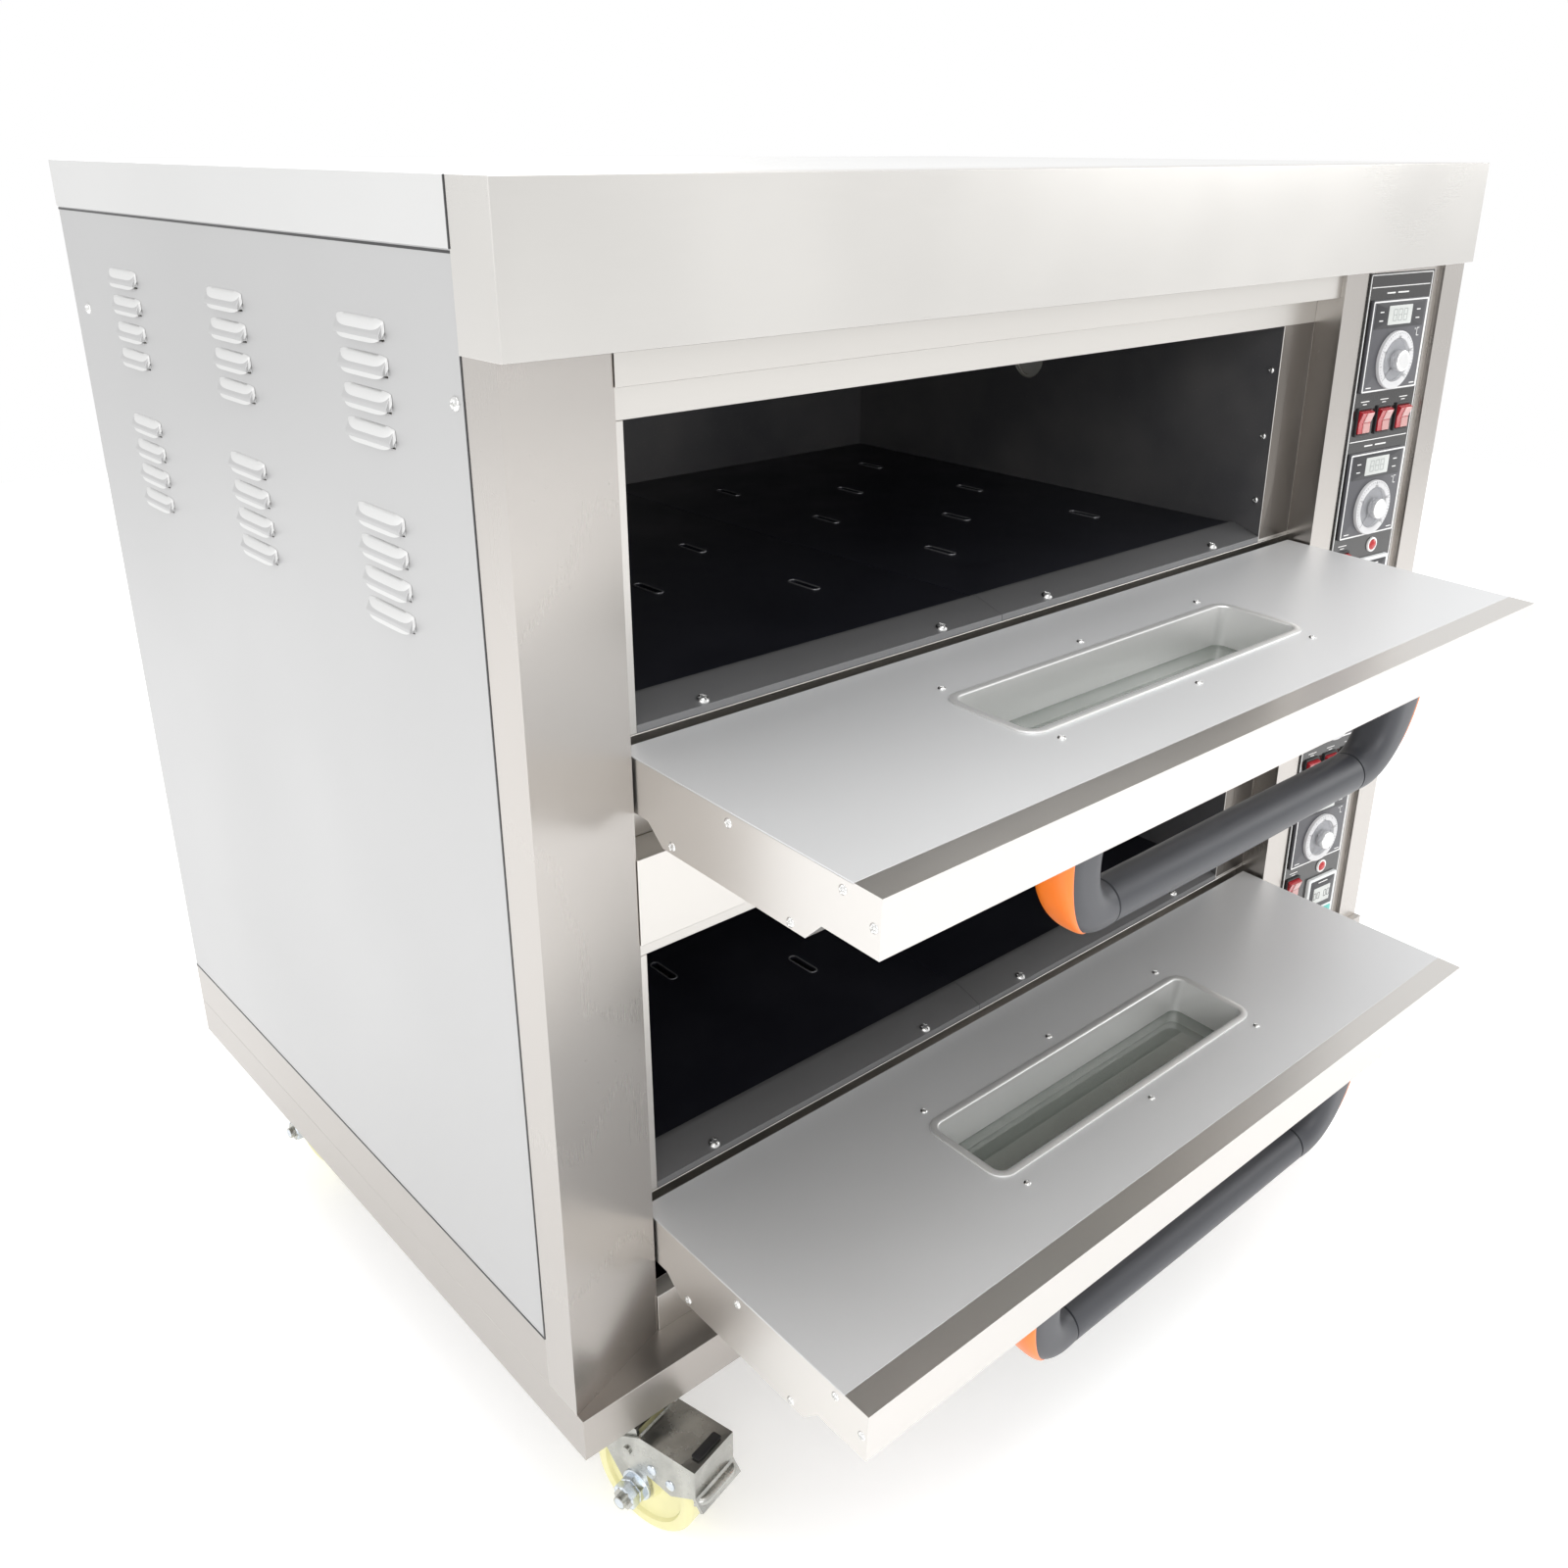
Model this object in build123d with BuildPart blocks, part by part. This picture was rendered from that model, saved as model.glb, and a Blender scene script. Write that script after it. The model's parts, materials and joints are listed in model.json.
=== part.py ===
"""Two-deck electric deck oven on castors, with bottom-hinged doors standing open.

Millimetres, +Z up, the front faces -Y. The origin is on the floor, under the middle of the
whole object with both doors open.
"""
import os
from math import atan2, cos, hypot, radians, sin, tan

from build123d import *

# ---- driving dimensions -------------------------------------------------------------------
oven_width = 1220.0          # over the hood
oven_depth = 808.0           # hood front to rear
body_height = 966.0          # hood top to the underside of the base
castor_head = 23.0           # top of a wheel to the underside of the base
gland_reach = 20.0           # cable gland behind the rear panel
gland_radius = 12.0
gland_wall = 6.0             # gland's locknut round its thread
cable_bore = 6.5
sheet = 1.2                  # thickness of every folded sheet
gap = 0.3                    # play between pieces that only pass each other
seam = 0.1                   # between plates that meet along a riveted or bolted edge

hood_height = 102.0
hood_wrap = 50.0             # how far the stainless hood runs back along each side
cover_flange = 41.0          # side and rear flange of the top cover
base_height = 41.5
base_flange = 150.0          # width of the base channel's flanges
pan_flange = 49.0            # upturned edge of the floor pan

column_setback = 8.3         # front faces of the corner columns behind the hood front
left_column_width = 103.0
left_column_bevel = 16.3     # degrees that the left column's face turns inwards
column_wrap = 41.7           # side flange of a column
right_column_width = 44.0
column_return = 26.0         # inner return of the right column

deck_pitch = 416.0           # upper deck to lower deck
door_width = 900.0
door_length = 272.8          # hinge edge to free edge
door_thickness = 60.0        # raised middle of the door
door_hinge_thickness = 45.0
door_end_thickness = 44.0
door_droop = 2.1             # degrees below level with the door open
door_gap_left = 1.9          # door to left column
door_gap_right = 5.1         # door to post
door_gap_top = 3.9           # closed door to the lintel above it
door_play = 0.4              # closed door to the jamb behind it
raised_start, hinge_step = 52.0, 34.0     # from the hinge edge
raised_inset, end_inset = 67.3, 52.3      # from the free edge
end_strip = 25.0             # return of the skin along the free edge
hinge_inset = 6.0            # hinge axis from the door's hinge edge
hinge_depth = 10.5           # hinge axis under the door's inner face
pin_radius = 4.5
running_fit = 0.06           # radial play of a turning shaft

lintel_setback = 37.0        # front face of the lintels
lintel_drop = 28.0           # upper lintel below the hood
lintel_clear = 72.3          # hinge axis to the top of the lintel below it
jamb_setback = 62.0          # plane that the closed doors shut against
opening_drop = 54.4          # top of the chamber opening below the hood
hearth_rise = 30.7           # hearth over the hinge axis
riser_setback = 70.3         # recessed sheet under the doors' hinge edge
apron_height = 37.0
jamb_left, jamb_right = 22.0, 57.6

chamber_right_inset = 57.0   # chamber wall from the control post
chamber_rear_inset = 115.8   # chamber wall from the rear
chamber_left_inset = 4.0     # chamber wall from the left column's inner edge
ceiling_clear = 18.4         # chamber ceiling above the opening
element_space = 35.0         # chamber floor under the hearth plates' top
hearth_thickness = 3.0
hearth_seam = 0.6
slot_length, slot_width = 38.0, 8.0
slot_spread = 118.0          # outer rows of slots from a plate's middle
slot_front_inset, slot_back_inset = 134.0, 117.4
flashing_depth = 31.0
flashing_fall = 9.0
flashing_lip = 6.5
flashing_screw_insets = (65.7, 80.1)      # from the left and right ends
flashing_screw_seams = (74.0, 70.0)       # from the seam between the plates
flashing_screw_rise = 6.5
lamp_radius = 22.0
element_radius = 4.0
element_leg_spacing = 90.0
element_edge = 104.5         # chamber wall to the first and last hairpins
lamp_rear_inset = 292.2      # lamp from the chamber's back wall

fascia_setback = 32.0        # control fascia's edge beside the door
fascia_end_setback = 13.84   # and its edge beside the right column
post_width = 39.0
plate_width = 114.0
plate_height = 400.0
plate_drop = 5.0             # control plate below the hood
plate_thickness = 1.5
controller_width, controller_height = 100.0, 97.0
controller_body = 90.0
controller_bezel = 3.0
controller_depth = 75.0
controller_drops = (76.3, 239.0)     # plate top to controller centres
dial_radius = 31.0
dial_thickness = 5.0
dial_below = 15.5            # dial centre under controller centre
knob_radius = 11.0
knob_height = 14.0
dial_shaft_radius = 3.0
rocker_width, rocker_height = 21.0, 26.0
rocker_bezel_border = 2.6
rocker_row_drop = 156.0
rocker_pitch = 35.0
rocker_tilt = 9.0            # degrees either side of level
timer_width, timer_height = 56.0, 76.0
timer_drop = 353.0
timer_offset = 21.5          # timer centre right of the plate centre
single_rocker_offset = -37.5
single_rocker_drop = 317.0
pilot_drop = 301.0
pilot_offset = 17.5
pilot_radius = 8.5

window_length, window_height = 393.0, 96.0
window_shift = 1.75          # window centre towards the hinge from the raised middle's centre
window_rim = 8.0
window_corner = 18.0
glass_thickness = 4.0
handle_span = 480.0
handle_inset = 25.8          # handle base from the free edge
grip_radius = 18.5
grip_stand = 72.0            # grip axis under the door's end face
grip_shift = 4.0             # grip axis towards the hinge from the base centre
handle_end_width = 44.0
handle_base = 42.0
cap_thickness = 13.0

louvre_width, louvre_height, louvre_rise = 67.0, 12.0, 4.5
louvre_pitch = 23.3
louvre_last_inset = 157.0    # last column from the rear
louvre_row_pitch = 130.0
louvre_first_setback = 182.0
louvre_first_drop = 90.0

wheel_radius = 54.0
wheel_width = 34.0
castor_trail = 36.0
castor_inset_x = 69.0
castor_inset_y = 50.0        # front castors
rear_castor_inset = 112.0
castor_plate_x, castor_plate_y, castor_plate_z = 100.0, 72.0, 3.5
castor_yaws = {"front_left": 13.0, "front_right": -20.0, "rear_left": 4.0, "rear_right": -16.0}
fork_sheet = 3.0
fork_play = 3.0
axle_radius = 6.0
axle_head = 7.0
axle_nut = 9.0
axle_end = 5.0               # bolt past its nuts
kingpin_radius = 9.0
crown_radius = 30.0
crown_thickness = 9.0
brake_sheet = 2.0
brake_clear = 13.0           # brake cover's front face ahead of the wheel
brake_pin_radius = 4.0
brake_pin_ahead = 29.0       # brake pivot ahead of the swivel axis
brake_pin_drop = 27.0        # and below the fork's crown

# ---- levels and places worked out from the dimensions --------------------------------------
base_bottom = 2 * wheel_radius + castor_head
top = base_bottom + body_height
base_top = base_bottom + base_height
hood_bottom = top - hood_height
left = -oven_width / 2
right = oven_width / 2
droop = radians(door_droop)

hinge_axis_setback = jamb_setback - door_play - hinge_depth
hinge_edge_setback = hinge_axis_setback + hinge_inset * cos(droop) - hinge_depth * sin(droop)
front_overhang = door_length * cos(droop) - hinge_edge_setback
front = -(oven_depth + gland_reach - sheet - front_overhang) / 2   # Y of the hood's front face
rear = front + oven_depth

door_left = left + left_column_width + door_gap_left
door_right = door_left + door_width
post_left = door_right + door_gap_right
fascia_run = right - sheet - right_column_width - gap - post_left
slant = atan2(fascia_setback - fascia_end_setback, fascia_run)
closed_door_top = hood_bottom - lintel_drop - door_gap_top
hinge_height = closed_door_top - (door_length - hinge_inset)
hearth_level = hinge_height + hearth_rise
opening_height = hood_bottom - opening_drop - hearth_level
chamber_left = left + left_column_width + chamber_left_inset
chamber_right = post_left - chamber_right_inset
chamber_front = front + jamb_setback + sheet
chamber_back = rear - chamber_rear_inset
decks = {"upper": 0.0, "lower": deck_pitch}
raised_end = door_length - raised_inset
end_step = door_length - end_inset
window_centre = (raised_start + raised_end) / 2 - window_shift
handle_centre = door_length - handle_inset


def block(x, y, z, mode=Mode.ADD):
    """Add or cut a box between the given pairs of limits."""
    with BuildSketch(Plane.XY.offset(z[0])) as outline:
        with Locations(((x[0] + x[1]) / 2, (y[0] + y[1]) / 2)):
            Rectangle(x[1] - x[0], y[1] - y[0])
    extrude(outline.sketch, amount=z[1] - z[0], mode=mode)


def mitred(points, amount):
    """Points of a polyline moved sideways by amount, to the left of its direction."""
    normals = []
    for (x0, y0), (x1, y1) in zip(points, points[1:]):
        run = hypot(x1 - x0, y1 - y0)
        normals.append(((y0 - y1) / run, (x1 - x0) / run))
    moved = []
    for index, (x, y) in enumerate(points):
        before = normals[max(index - 1, 0)]
        after = normals[min(index, len(normals) - 1)]
        scale = amount / (1 + before[0] * after[0] + before[1] * after[1])
        moved.append((x + (before[0] + after[0]) * scale, y + (before[1] + after[1]) * scale))
    return moved


def folded(plane, points, length, inwards=1):
    """Add a folded sheet: its outer face runs through points, drawn on plane.

    The sheet's thickness lies to the left of the line, or to its right with inwards=-1.
    """
    with BuildSketch(plane) as section:
        with BuildLine():
            Polyline(*points, *reversed(mitred(points, inwards * sheet)), close=True)
        make_face()
    extrude(section.sketch, amount=length)


def rod(plane, places, radius, length, mode=Mode.ADD):
    """Add or cut round bars that start on plane at each place."""
    with BuildSketch(plane) as section:
        with Locations(*places):
            Circle(radius)
    extrude(section.sketch, amount=length, mode=mode)


def panel_cut(plane, place, width, height, length, mode=Mode.SUBTRACT):
    """Cut or add a rectangular prism centred on a place of plane."""
    with BuildSketch(plane) as section:
        with Locations(place):
            Rectangle(width, height)
    extrude(section.sketch, amount=length, mode=mode)


def save(piece, name):
    """Label a finished piece and write its STEP file."""
    piece.part.label = name
    export_step(piece.part, f"parts/{name}.step")


os.makedirs("parts", exist_ok=True)

# ---- base -----------------------------------------------------------------------------------
castor_places = {
    "front_left": (left + castor_inset_x, front + castor_inset_y),
    "front_right": (right - castor_inset_x, front + castor_inset_y),
    "rear_left": (left + castor_inset_x, rear - rear_castor_inset),
    "rear_right": (right - castor_inset_x, rear - rear_castor_inset),
}

with BuildPart() as base_frame:
    block((left + sheet, right - sheet), (front, rear), (base_bottom, base_top))
    block(
        (left + 2 * sheet, right - 2 * sheet),
        (front + sheet, rear - sheet),
        (base_bottom + sheet, base_top - sheet),
        Mode.SUBTRACT,
    )
    block(
        (left + sheet + base_flange, right - sheet - base_flange),
        (front + base_flange, rear - base_flange),
        (base_bottom, base_top),
        Mode.SUBTRACT,
    )
    for centre in castor_places.values():
        block(
            (centre[0] - castor_plate_x / 2, centre[0] + castor_plate_x / 2),
            (centre[1] - castor_plate_y / 2, centre[1] + castor_plate_y / 2),
            (base_bottom - castor_plate_z, base_bottom),
        )
        rod(Plane.XY.offset(base_bottom - castor_plate_z), [centre], kingpin_radius, -crown_thickness)
save(base_frame, "base_frame")

pan_front = front + column_setback + column_wrap
with BuildPart() as floor_pan:
    block(
        (left + sheet, right - sheet),
        (pan_front, rear),
        (base_top, base_top + pan_flange),
    )
    block(
        (left + 2 * sheet, right - 2 * sheet),
        (pan_front - sheet, rear - sheet),
        (base_top + sheet, base_top + pan_flange),
        Mode.SUBTRACT,
    )
save(floor_pan, "floor_pan")

# ---- hood, cover, side and rear panels --------------------------------------------------------
with BuildPart() as hood_front:
    block((left, right), (front, front + hood_wrap), (hood_bottom, top))
    block(
        (left + sheet, right - sheet),
        (front + sheet, front + hood_wrap),
        (hood_bottom, top - sheet),
        Mode.SUBTRACT,
    )
save(hood_front, "hood_front")

with BuildPart() as top_cover:
    block((left, right), (front + hood_wrap, rear), (top - cover_flange, top))
    block(
        (left + sheet, right - sheet),
        (front + hood_wrap, rear - sheet),
        (top - cover_flange, top - sheet),
        Mode.SUBTRACT,
    )
save(top_cover, "top_cover")

louvre_column_pitch = (oven_depth - louvre_first_setback - louvre_last_inset) / 2
louvre_places = [
    (
        front + louvre_first_setback + column * louvre_column_pitch,
        top - louvre_first_drop - row * louvre_row_pitch - step * louvre_pitch,
    )
    for column in range(3)
    for row in range(2)
    for step in range(4)
]
panel_bottom = base_top + pan_flange
with BuildPart() as side_panels:
    for hand, outer in ((1, left + sheet), (-1, right - sheet)):
        inner = outer + hand * sheet
        block(
            (min(outer, inner), max(outer, inner)),
            (pan_front, rear - sheet),
            (panel_bottom, top - 2 * sheet),
        )
        for middle, crown in louvre_places:
            section_plane = Plane((0, middle - louvre_width / 2, crown), x_dir=(1, 0, 0), z_dir=(0, -1, 0))
            with BuildSketch(section_plane) as rise:
                with BuildLine():
                    Polyline(
                        (outer, 0),
                        (outer - hand * louvre_rise, 0.75 * -louvre_height),
                        (outer - hand * louvre_rise, -louvre_height),
                        (outer, -louvre_height),
                        close=True,
                    )
                make_face()
            extrude(rise.sketch, amount=-louvre_width)
            hollow_plane = section_plane.offset(-sheet)
            with BuildSketch(hollow_plane) as hollow:
                with BuildLine():
                    Polyline(
                        (inner, -1.5 * sheet),
                        (outer - hand * (louvre_rise - sheet), 0.75 * -louvre_height),
                        (outer - hand * (louvre_rise - sheet), -louvre_height - sheet),
                        (inner, -louvre_height - sheet),
                        close=True,
                    )
                make_face()
            extrude(hollow.sketch, amount=2 * sheet - louvre_width, mode=Mode.SUBTRACT)
save(side_panels, "side_panels")

gland_place = (right - 110.0, base_top + 105.0)
rear_outside = Plane((0, rear - sheet, 0), x_dir=(-1, 0, 0), z_dir=(0, 1, 0))
with BuildPart() as rear_panel:
    block(
        (left + 2 * sheet, right - 2 * sheet),
        (rear - 2 * sheet, rear - sheet),
        (base_top + sheet, top - 2 * sheet),
    )
    rod(rear_outside, [(-gland_place[0], gland_place[1])], gland_radius, -2 * sheet, Mode.SUBTRACT)
    with BuildSketch(rear_outside) as vents:
        for level in range(8):
            with Locations((-(right - 110.0), top - 150.0 - level * 18.0)):
                SlotOverall(90.0, 6.0)
    extrude(vents.sketch, amount=-2 * sheet, mode=Mode.SUBTRACT)
save(rear_panel, "rear_panel")

# ---- columns and control fascia ---------------------------------------------------------------
column_height = hood_bottom - base_top
column_front = front + column_setback
bevel_depth = left_column_width * tan(radians(left_column_bevel))
riser_front = front + riser_setback
riser_back = riser_front + sheet
hinge_centres = [(front + hinge_axis_setback, hinge_height - drop) for drop in decks.values()]
end_plane = Plane.YZ
pan_overlap = (pan_front, riser_back)
pan_sheet = (base_top, base_top + sheet)

with BuildPart() as left_column:
    folded(
        Plane.XY.offset(base_top),
        [
            (left + sheet, column_front + column_wrap),
            (left + sheet, column_front),
            (left + left_column_width, column_front + bevel_depth),
            (left + left_column_width, riser_front),
        ],
        column_height,
    )
    block((left + 2 * sheet, left + left_column_width), pan_overlap, pan_sheet, Mode.SUBTRACT)
    rod(
        end_plane.offset(left + left_column_width - 2 * sheet),
        hinge_centres,
        pin_radius + running_fit,
        3 * sheet,
        Mode.SUBTRACT,
    )
save(left_column, "left_column")

right_column_left = right - sheet - right_column_width
with BuildPart() as right_column:
    folded(
        Plane.XY.offset(base_top),
        [
            (right_column_left, column_front + column_return),
            (right_column_left, column_front),
            (right - sheet, column_front),
            (right - sheet, column_front + column_wrap),
        ],
        column_height,
    )
save(right_column, "right_column")

fascia_plane = Plane(
    (post_left, front + fascia_setback, 0),
    x_dir=(cos(slant), -sin(slant), 0),
    z_dir=(-sin(slant), -cos(slant), 0),
)
fascia_length = fascia_run / cos(slant)
plate_centre = post_width + plate_width / 2
plate_top = hood_bottom - plate_drop


def panel_places(drop):
    """Centres of what one deck's control plate carries, on the fascia plane."""
    level = plate_top - drop
    return {
        "controllers": [(plate_centre, level - below) for below in controller_drops],
        "rockers": [
            (plate_centre + index * rocker_pitch, level - rocker_row_drop) for index in (-1, 0, 1)
        ] + [(plate_centre + single_rocker_offset, level - single_rocker_drop)],
        "timer": (plate_centre + timer_offset, level - timer_drop),
        "pilot": (plate_centre + pilot_offset, level - pilot_drop),
    }


timer_body_width, timer_body_height = timer_width - 8.0, timer_height - 8.0
rocker_body_width = rocker_width + 2.0
rocker_body_height = rocker_height + 2.4
pilot_body_radius = pilot_radius - 2.0


def cut_panel_holes(start, depth):
    """Cut the openings for controllers, switches, timers and pilot lamps."""
    plane = fascia_plane.offset(start)
    for drop in decks.values():
        places = panel_places(drop)
        for place in places["controllers"]:
            panel_cut(plane, place, controller_body + gap, controller_body + gap, -depth)
        for place in places["rockers"]:
            panel_cut(plane, place, rocker_body_width + gap, rocker_body_height + gap, -depth)
        panel_cut(plane, places["timer"], timer_body_width + gap, timer_body_height + gap, -depth)
        rod(plane, [places["pilot"]], pilot_body_radius + gap / 2, -depth, Mode.SUBTRACT)


with BuildPart() as control_fascia:
    folded(
        Plane.XY.offset(base_top),
        [
            (post_left, riser_front),
            (post_left, front + fascia_setback),
            (
                post_left + fascia_length * cos(slant),
                front + fascia_setback - fascia_length * sin(slant),
            ),
        ],
        column_height,
    )
    block((post_left, post_left + sheet), pan_overlap, pan_sheet, Mode.SUBTRACT)
    cut_panel_holes(sheet, 4 * sheet)
    rod(
        end_plane.offset(post_left - sheet), hinge_centres, pin_radius + running_fit, 3 * sheet, Mode.SUBTRACT
    )
save(control_fascia, "control_fascia")

with BuildPart() as control_plates:
    for drop in decks.values():
        middle = (plate_centre, plate_top - drop - plate_height / 2)
        panel_cut(fascia_plane, middle, plate_width, plate_height, plate_thickness, Mode.ADD)
    cut_panel_holes(2 * plate_thickness, 3 * plate_thickness)
save(control_plates, "control_plates")

# ---- instruments ---------------------------------------------------------------------------------
face_plane = fascia_plane.offset(plate_thickness)
bezel_plane = face_plane.offset(controller_bezel)
with BuildPart() as panel_instruments:
    for drop in decks.values():
        places = panel_places(drop)
        for place in places["controllers"]:
            panel_cut(face_plane, place, controller_width, controller_height, controller_bezel, Mode.ADD)
            panel_cut(face_plane, place, controller_body, controller_body, -controller_depth, Mode.ADD)
            rod(
                bezel_plane,
                [(place[0], place[1] - dial_below)],
                dial_shaft_radius + running_fit,
                -12.0 - controller_bezel,
                Mode.SUBTRACT,
            )
            panel_cut(bezel_plane, (place[0], place[1] + 30.0), 46.0, 18.0, -0.6)
        panel_cut(face_plane, places["timer"], timer_width, timer_height, controller_bezel + 1.0, Mode.ADD)
        panel_cut(face_plane, places["timer"], timer_body_width, timer_body_height, -45.0, Mode.ADD)
save(panel_instruments, "panel_instruments")

rocker_radius = rocker_height / 2 - 0.4
pivot_radius = 1.5
bezel_thickness = 2.0
with BuildPart() as panel_fittings:
    for drop in decks.values():
        places = panel_places(drop)
        for place in places["rockers"]:
            outer_width = rocker_width + 2 * rocker_bezel_border
            outer_height = rocker_height + 2 * rocker_bezel_border
            panel_cut(face_plane, place, outer_width, outer_height, bezel_thickness, Mode.ADD)
            panel_cut(face_plane, place, rocker_body_width, rocker_body_height, -20.0, Mode.ADD)
            panel_cut(
                face_plane.offset(bezel_thickness), place, rocker_width + gap, rocker_height, -19.0
            )
            with BuildSketch(Plane(
                face_plane.from_local_coords((place[0], place[1], 0)),
                x_dir=(0, 0, 1),
                z_dir=face_plane.x_dir,
            )) as pivot:
                Circle(pivot_radius + running_fit)
            extrude(pivot.sketch, amount=rocker_body_width / 2, both=True, mode=Mode.SUBTRACT)
        rod(face_plane, [places["pilot"]], pilot_radius, 2.0)
        rod(face_plane, [places["pilot"]], pilot_body_radius, -25.0)
        rod(face_plane.offset(2.0), [places["pilot"]], pilot_radius - 2.5, 2.0)
save(panel_fittings, "panel_fittings")

for deck, drop in decks.items():
    places = panel_places(drop)
    for role, place in zip(("top", "bottom"), places["controllers"]):
        centre = (place[0], place[1] - dial_below)
        with BuildPart() as dial:
            rod(bezel_plane.offset(gap), [centre], dial_radius, dial_thickness)
            chamfer(dial.edges().group_by(Axis(fascia_plane.origin, fascia_plane.z_dir))[-1], 1.5)
            rod(bezel_plane.offset(gap + dial_thickness), [centre], knob_radius, knob_height - dial_thickness)
            fillet(dial.edges().group_by(Axis(fascia_plane.origin, fascia_plane.z_dir))[-1], 1.5)
            rod(bezel_plane.offset(gap), [centre], dial_shaft_radius, -12.0)
        save(dial, f"{deck}_{role}_dial")
    for name, place in zip(("left", "middle", "right", "timer"), places["rockers"]):
        pivot_centre = face_plane.from_local_coords((place[0], place[1], 0))
        upright = Vector(0, 0, 1).rotate(Axis((0, 0, 0), face_plane.x_dir), rocker_tilt)
        swing_plane = Plane(pivot_centre, x_dir=upright, z_dir=face_plane.x_dir)
        with BuildPart() as rocker:
            with BuildSketch(swing_plane) as lever:
                Circle(rocker_radius)
                with BuildLine(mode=Mode.PRIVATE) as waste:
                    Polyline(
                        (-2 * rocker_radius, -4.0),
                        (2 * rocker_radius, -4.0),
                        (2 * rocker_radius, 8.0),
                        (0, 3.5),
                        (-2 * rocker_radius, 8.0),
                        close=True,
                    )
                make_face(waste.edges(), mode=Mode.INTERSECT)
            extrude(lever.sketch, amount=rocker_width / 2, both=True)
            with BuildSketch(swing_plane) as pivot:
                Circle(pivot_radius)
            extrude(pivot.sketch, amount=rocker_body_width / 2 - gap / 2, both=True)
        save(rocker, f"{deck}_{name}_rocker")

# ---- door surrounds --------------------------------------------------------------------------------
side_section = Plane((left + left_column_width, 0, 0), x_dir=(0, 1, 0), z_dir=(1, 0, 0))
surround_length = post_left - (left + left_column_width)
jamb_front = front + jamb_setback
for deck, drop in decks.items():
    lintel_bottom = hood_bottom - lintel_drop - drop
    lintel_top = hood_bottom if deck == "upper" else hinge_height - lintel_clear
    opening_top = hood_bottom - opening_drop - drop
    hearth = hearth_level - drop
    flashing_front = hearth - flashing_fall
    ledge = flashing_front - flashing_lip
    riser_bottom = hinge_height - lintel_clear
    if deck == "lower":
        riser_bottom = base_top + apron_height
    with BuildPart() as surround:
        folded(
            side_section,
            [
                (riser_front, lintel_top),
                (front + lintel_setback, lintel_top),
                (front + lintel_setback, lintel_bottom),
                (jamb_front, lintel_bottom),
                (jamb_front, opening_top),
            ],
            surround_length,
        )
        folded(
            side_section,
            [(jamb_front, ledge), (riser_back, ledge), (riser_back, riser_bottom)],
            surround_length,
            -1,
        )
        for near, far in (
            (left + left_column_width, left + left_column_width + jamb_left),
            (post_left - jamb_right, post_left),
        ):
            block((near, far), (jamb_front, jamb_front + sheet), (ledge + seam, opening_top - seam))
        if deck == "lower":
            folded(
                side_section,
                [
                    (riser_front, base_top + apron_height),
                    (front + lintel_setback, base_top + apron_height),
                    (front + lintel_setback, base_top),
                ],
                surround_length,
            )
    save(surround, f"{deck}_door_surround")

# ---- chambers ----------------------------------------------------------------------------------------
element_pitch = (chamber_back - chamber_front - 2 * element_edge) / 2
element_rows = [chamber_front + element_edge + index * element_pitch for index in range(3)]
top_element_level = hearth_level + opening_height + 10.0
bottom_element_level = hearth_level - 18.0
probe_radius = 2.5
probe_row = (element_rows[1] + element_rows[2]) / 2
wall_plane = Plane.YZ
lamp_place = (chamber_back - lamp_rear_inset, hearth_level + 145.0)


def wall_penetrations(drop):
    """Places and radii where elements and probes pass through a chamber's right wall."""
    holes = []
    for level in (top_element_level - drop, bottom_element_level - drop):
        holes.append(((probe_row, level), probe_radius))
        for row in element_rows:
            for leg in (-element_leg_spacing / 2, element_leg_spacing / 2):
                holes.append(((row + leg, level), element_radius))
    return holes


chamber_top = hearth_level + opening_height + ceiling_clear
chamber_floor = hearth_level - element_space
ledge_width = 12.0
for deck, drop in decks.items():
    hearth = hearth_level - drop
    support = hearth - hearth_thickness
    with BuildPart() as chamber:
        inside = (chamber_left + seam, chamber_right - seam)
        full_height = (chamber_floor - drop - sheet, chamber_top - drop + sheet)
        for near, far in (
            (chamber_left - sheet, chamber_left),
            (chamber_right, chamber_right + sheet),
        ):
            block((near, far), (chamber_front, chamber_back + sheet), full_height)
        block(inside, (chamber_back, chamber_back + sheet), full_height)
        for low in (chamber_floor - drop - sheet, chamber_top - drop):
            block(inside, (chamber_front, chamber_back - seam), (low, low + sheet))
        block(
            (chamber_left - sheet, chamber_right + sheet),
            (chamber_front, riser_front + sheet),
            (chamber_floor - drop - sheet, hearth - flashing_fall - flashing_lip + sheet),
            Mode.SUBTRACT,
        )
        for near, far in (
            (inside[0], chamber_left + ledge_width),
            (chamber_right - ledge_width, inside[1]),
        ):
            ledge_span = (chamber_front + flashing_depth + 5.0, chamber_back - seam)
            block((near, far), ledge_span, (support - 2 * sheet, support))
        middle = (chamber_left + chamber_right) / 2
        block(
            (middle - ledge_width, middle + ledge_width),
            (chamber_back - ledge_width, chamber_back - seam),
            (support - 2 * sheet, support),
        )
        for place, radius in wall_penetrations(drop):
            rod(wall_plane.offset(chamber_right), [place], radius + gap / 2, sheet, Mode.SUBTRACT)
        lamp_centre = (lamp_place[0], lamp_place[1] - drop)
        rod(wall_plane.offset(chamber_right), [lamp_centre], lamp_radius, sheet, Mode.SUBTRACT)
    save(chamber, f"{deck}_chamber")

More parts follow.
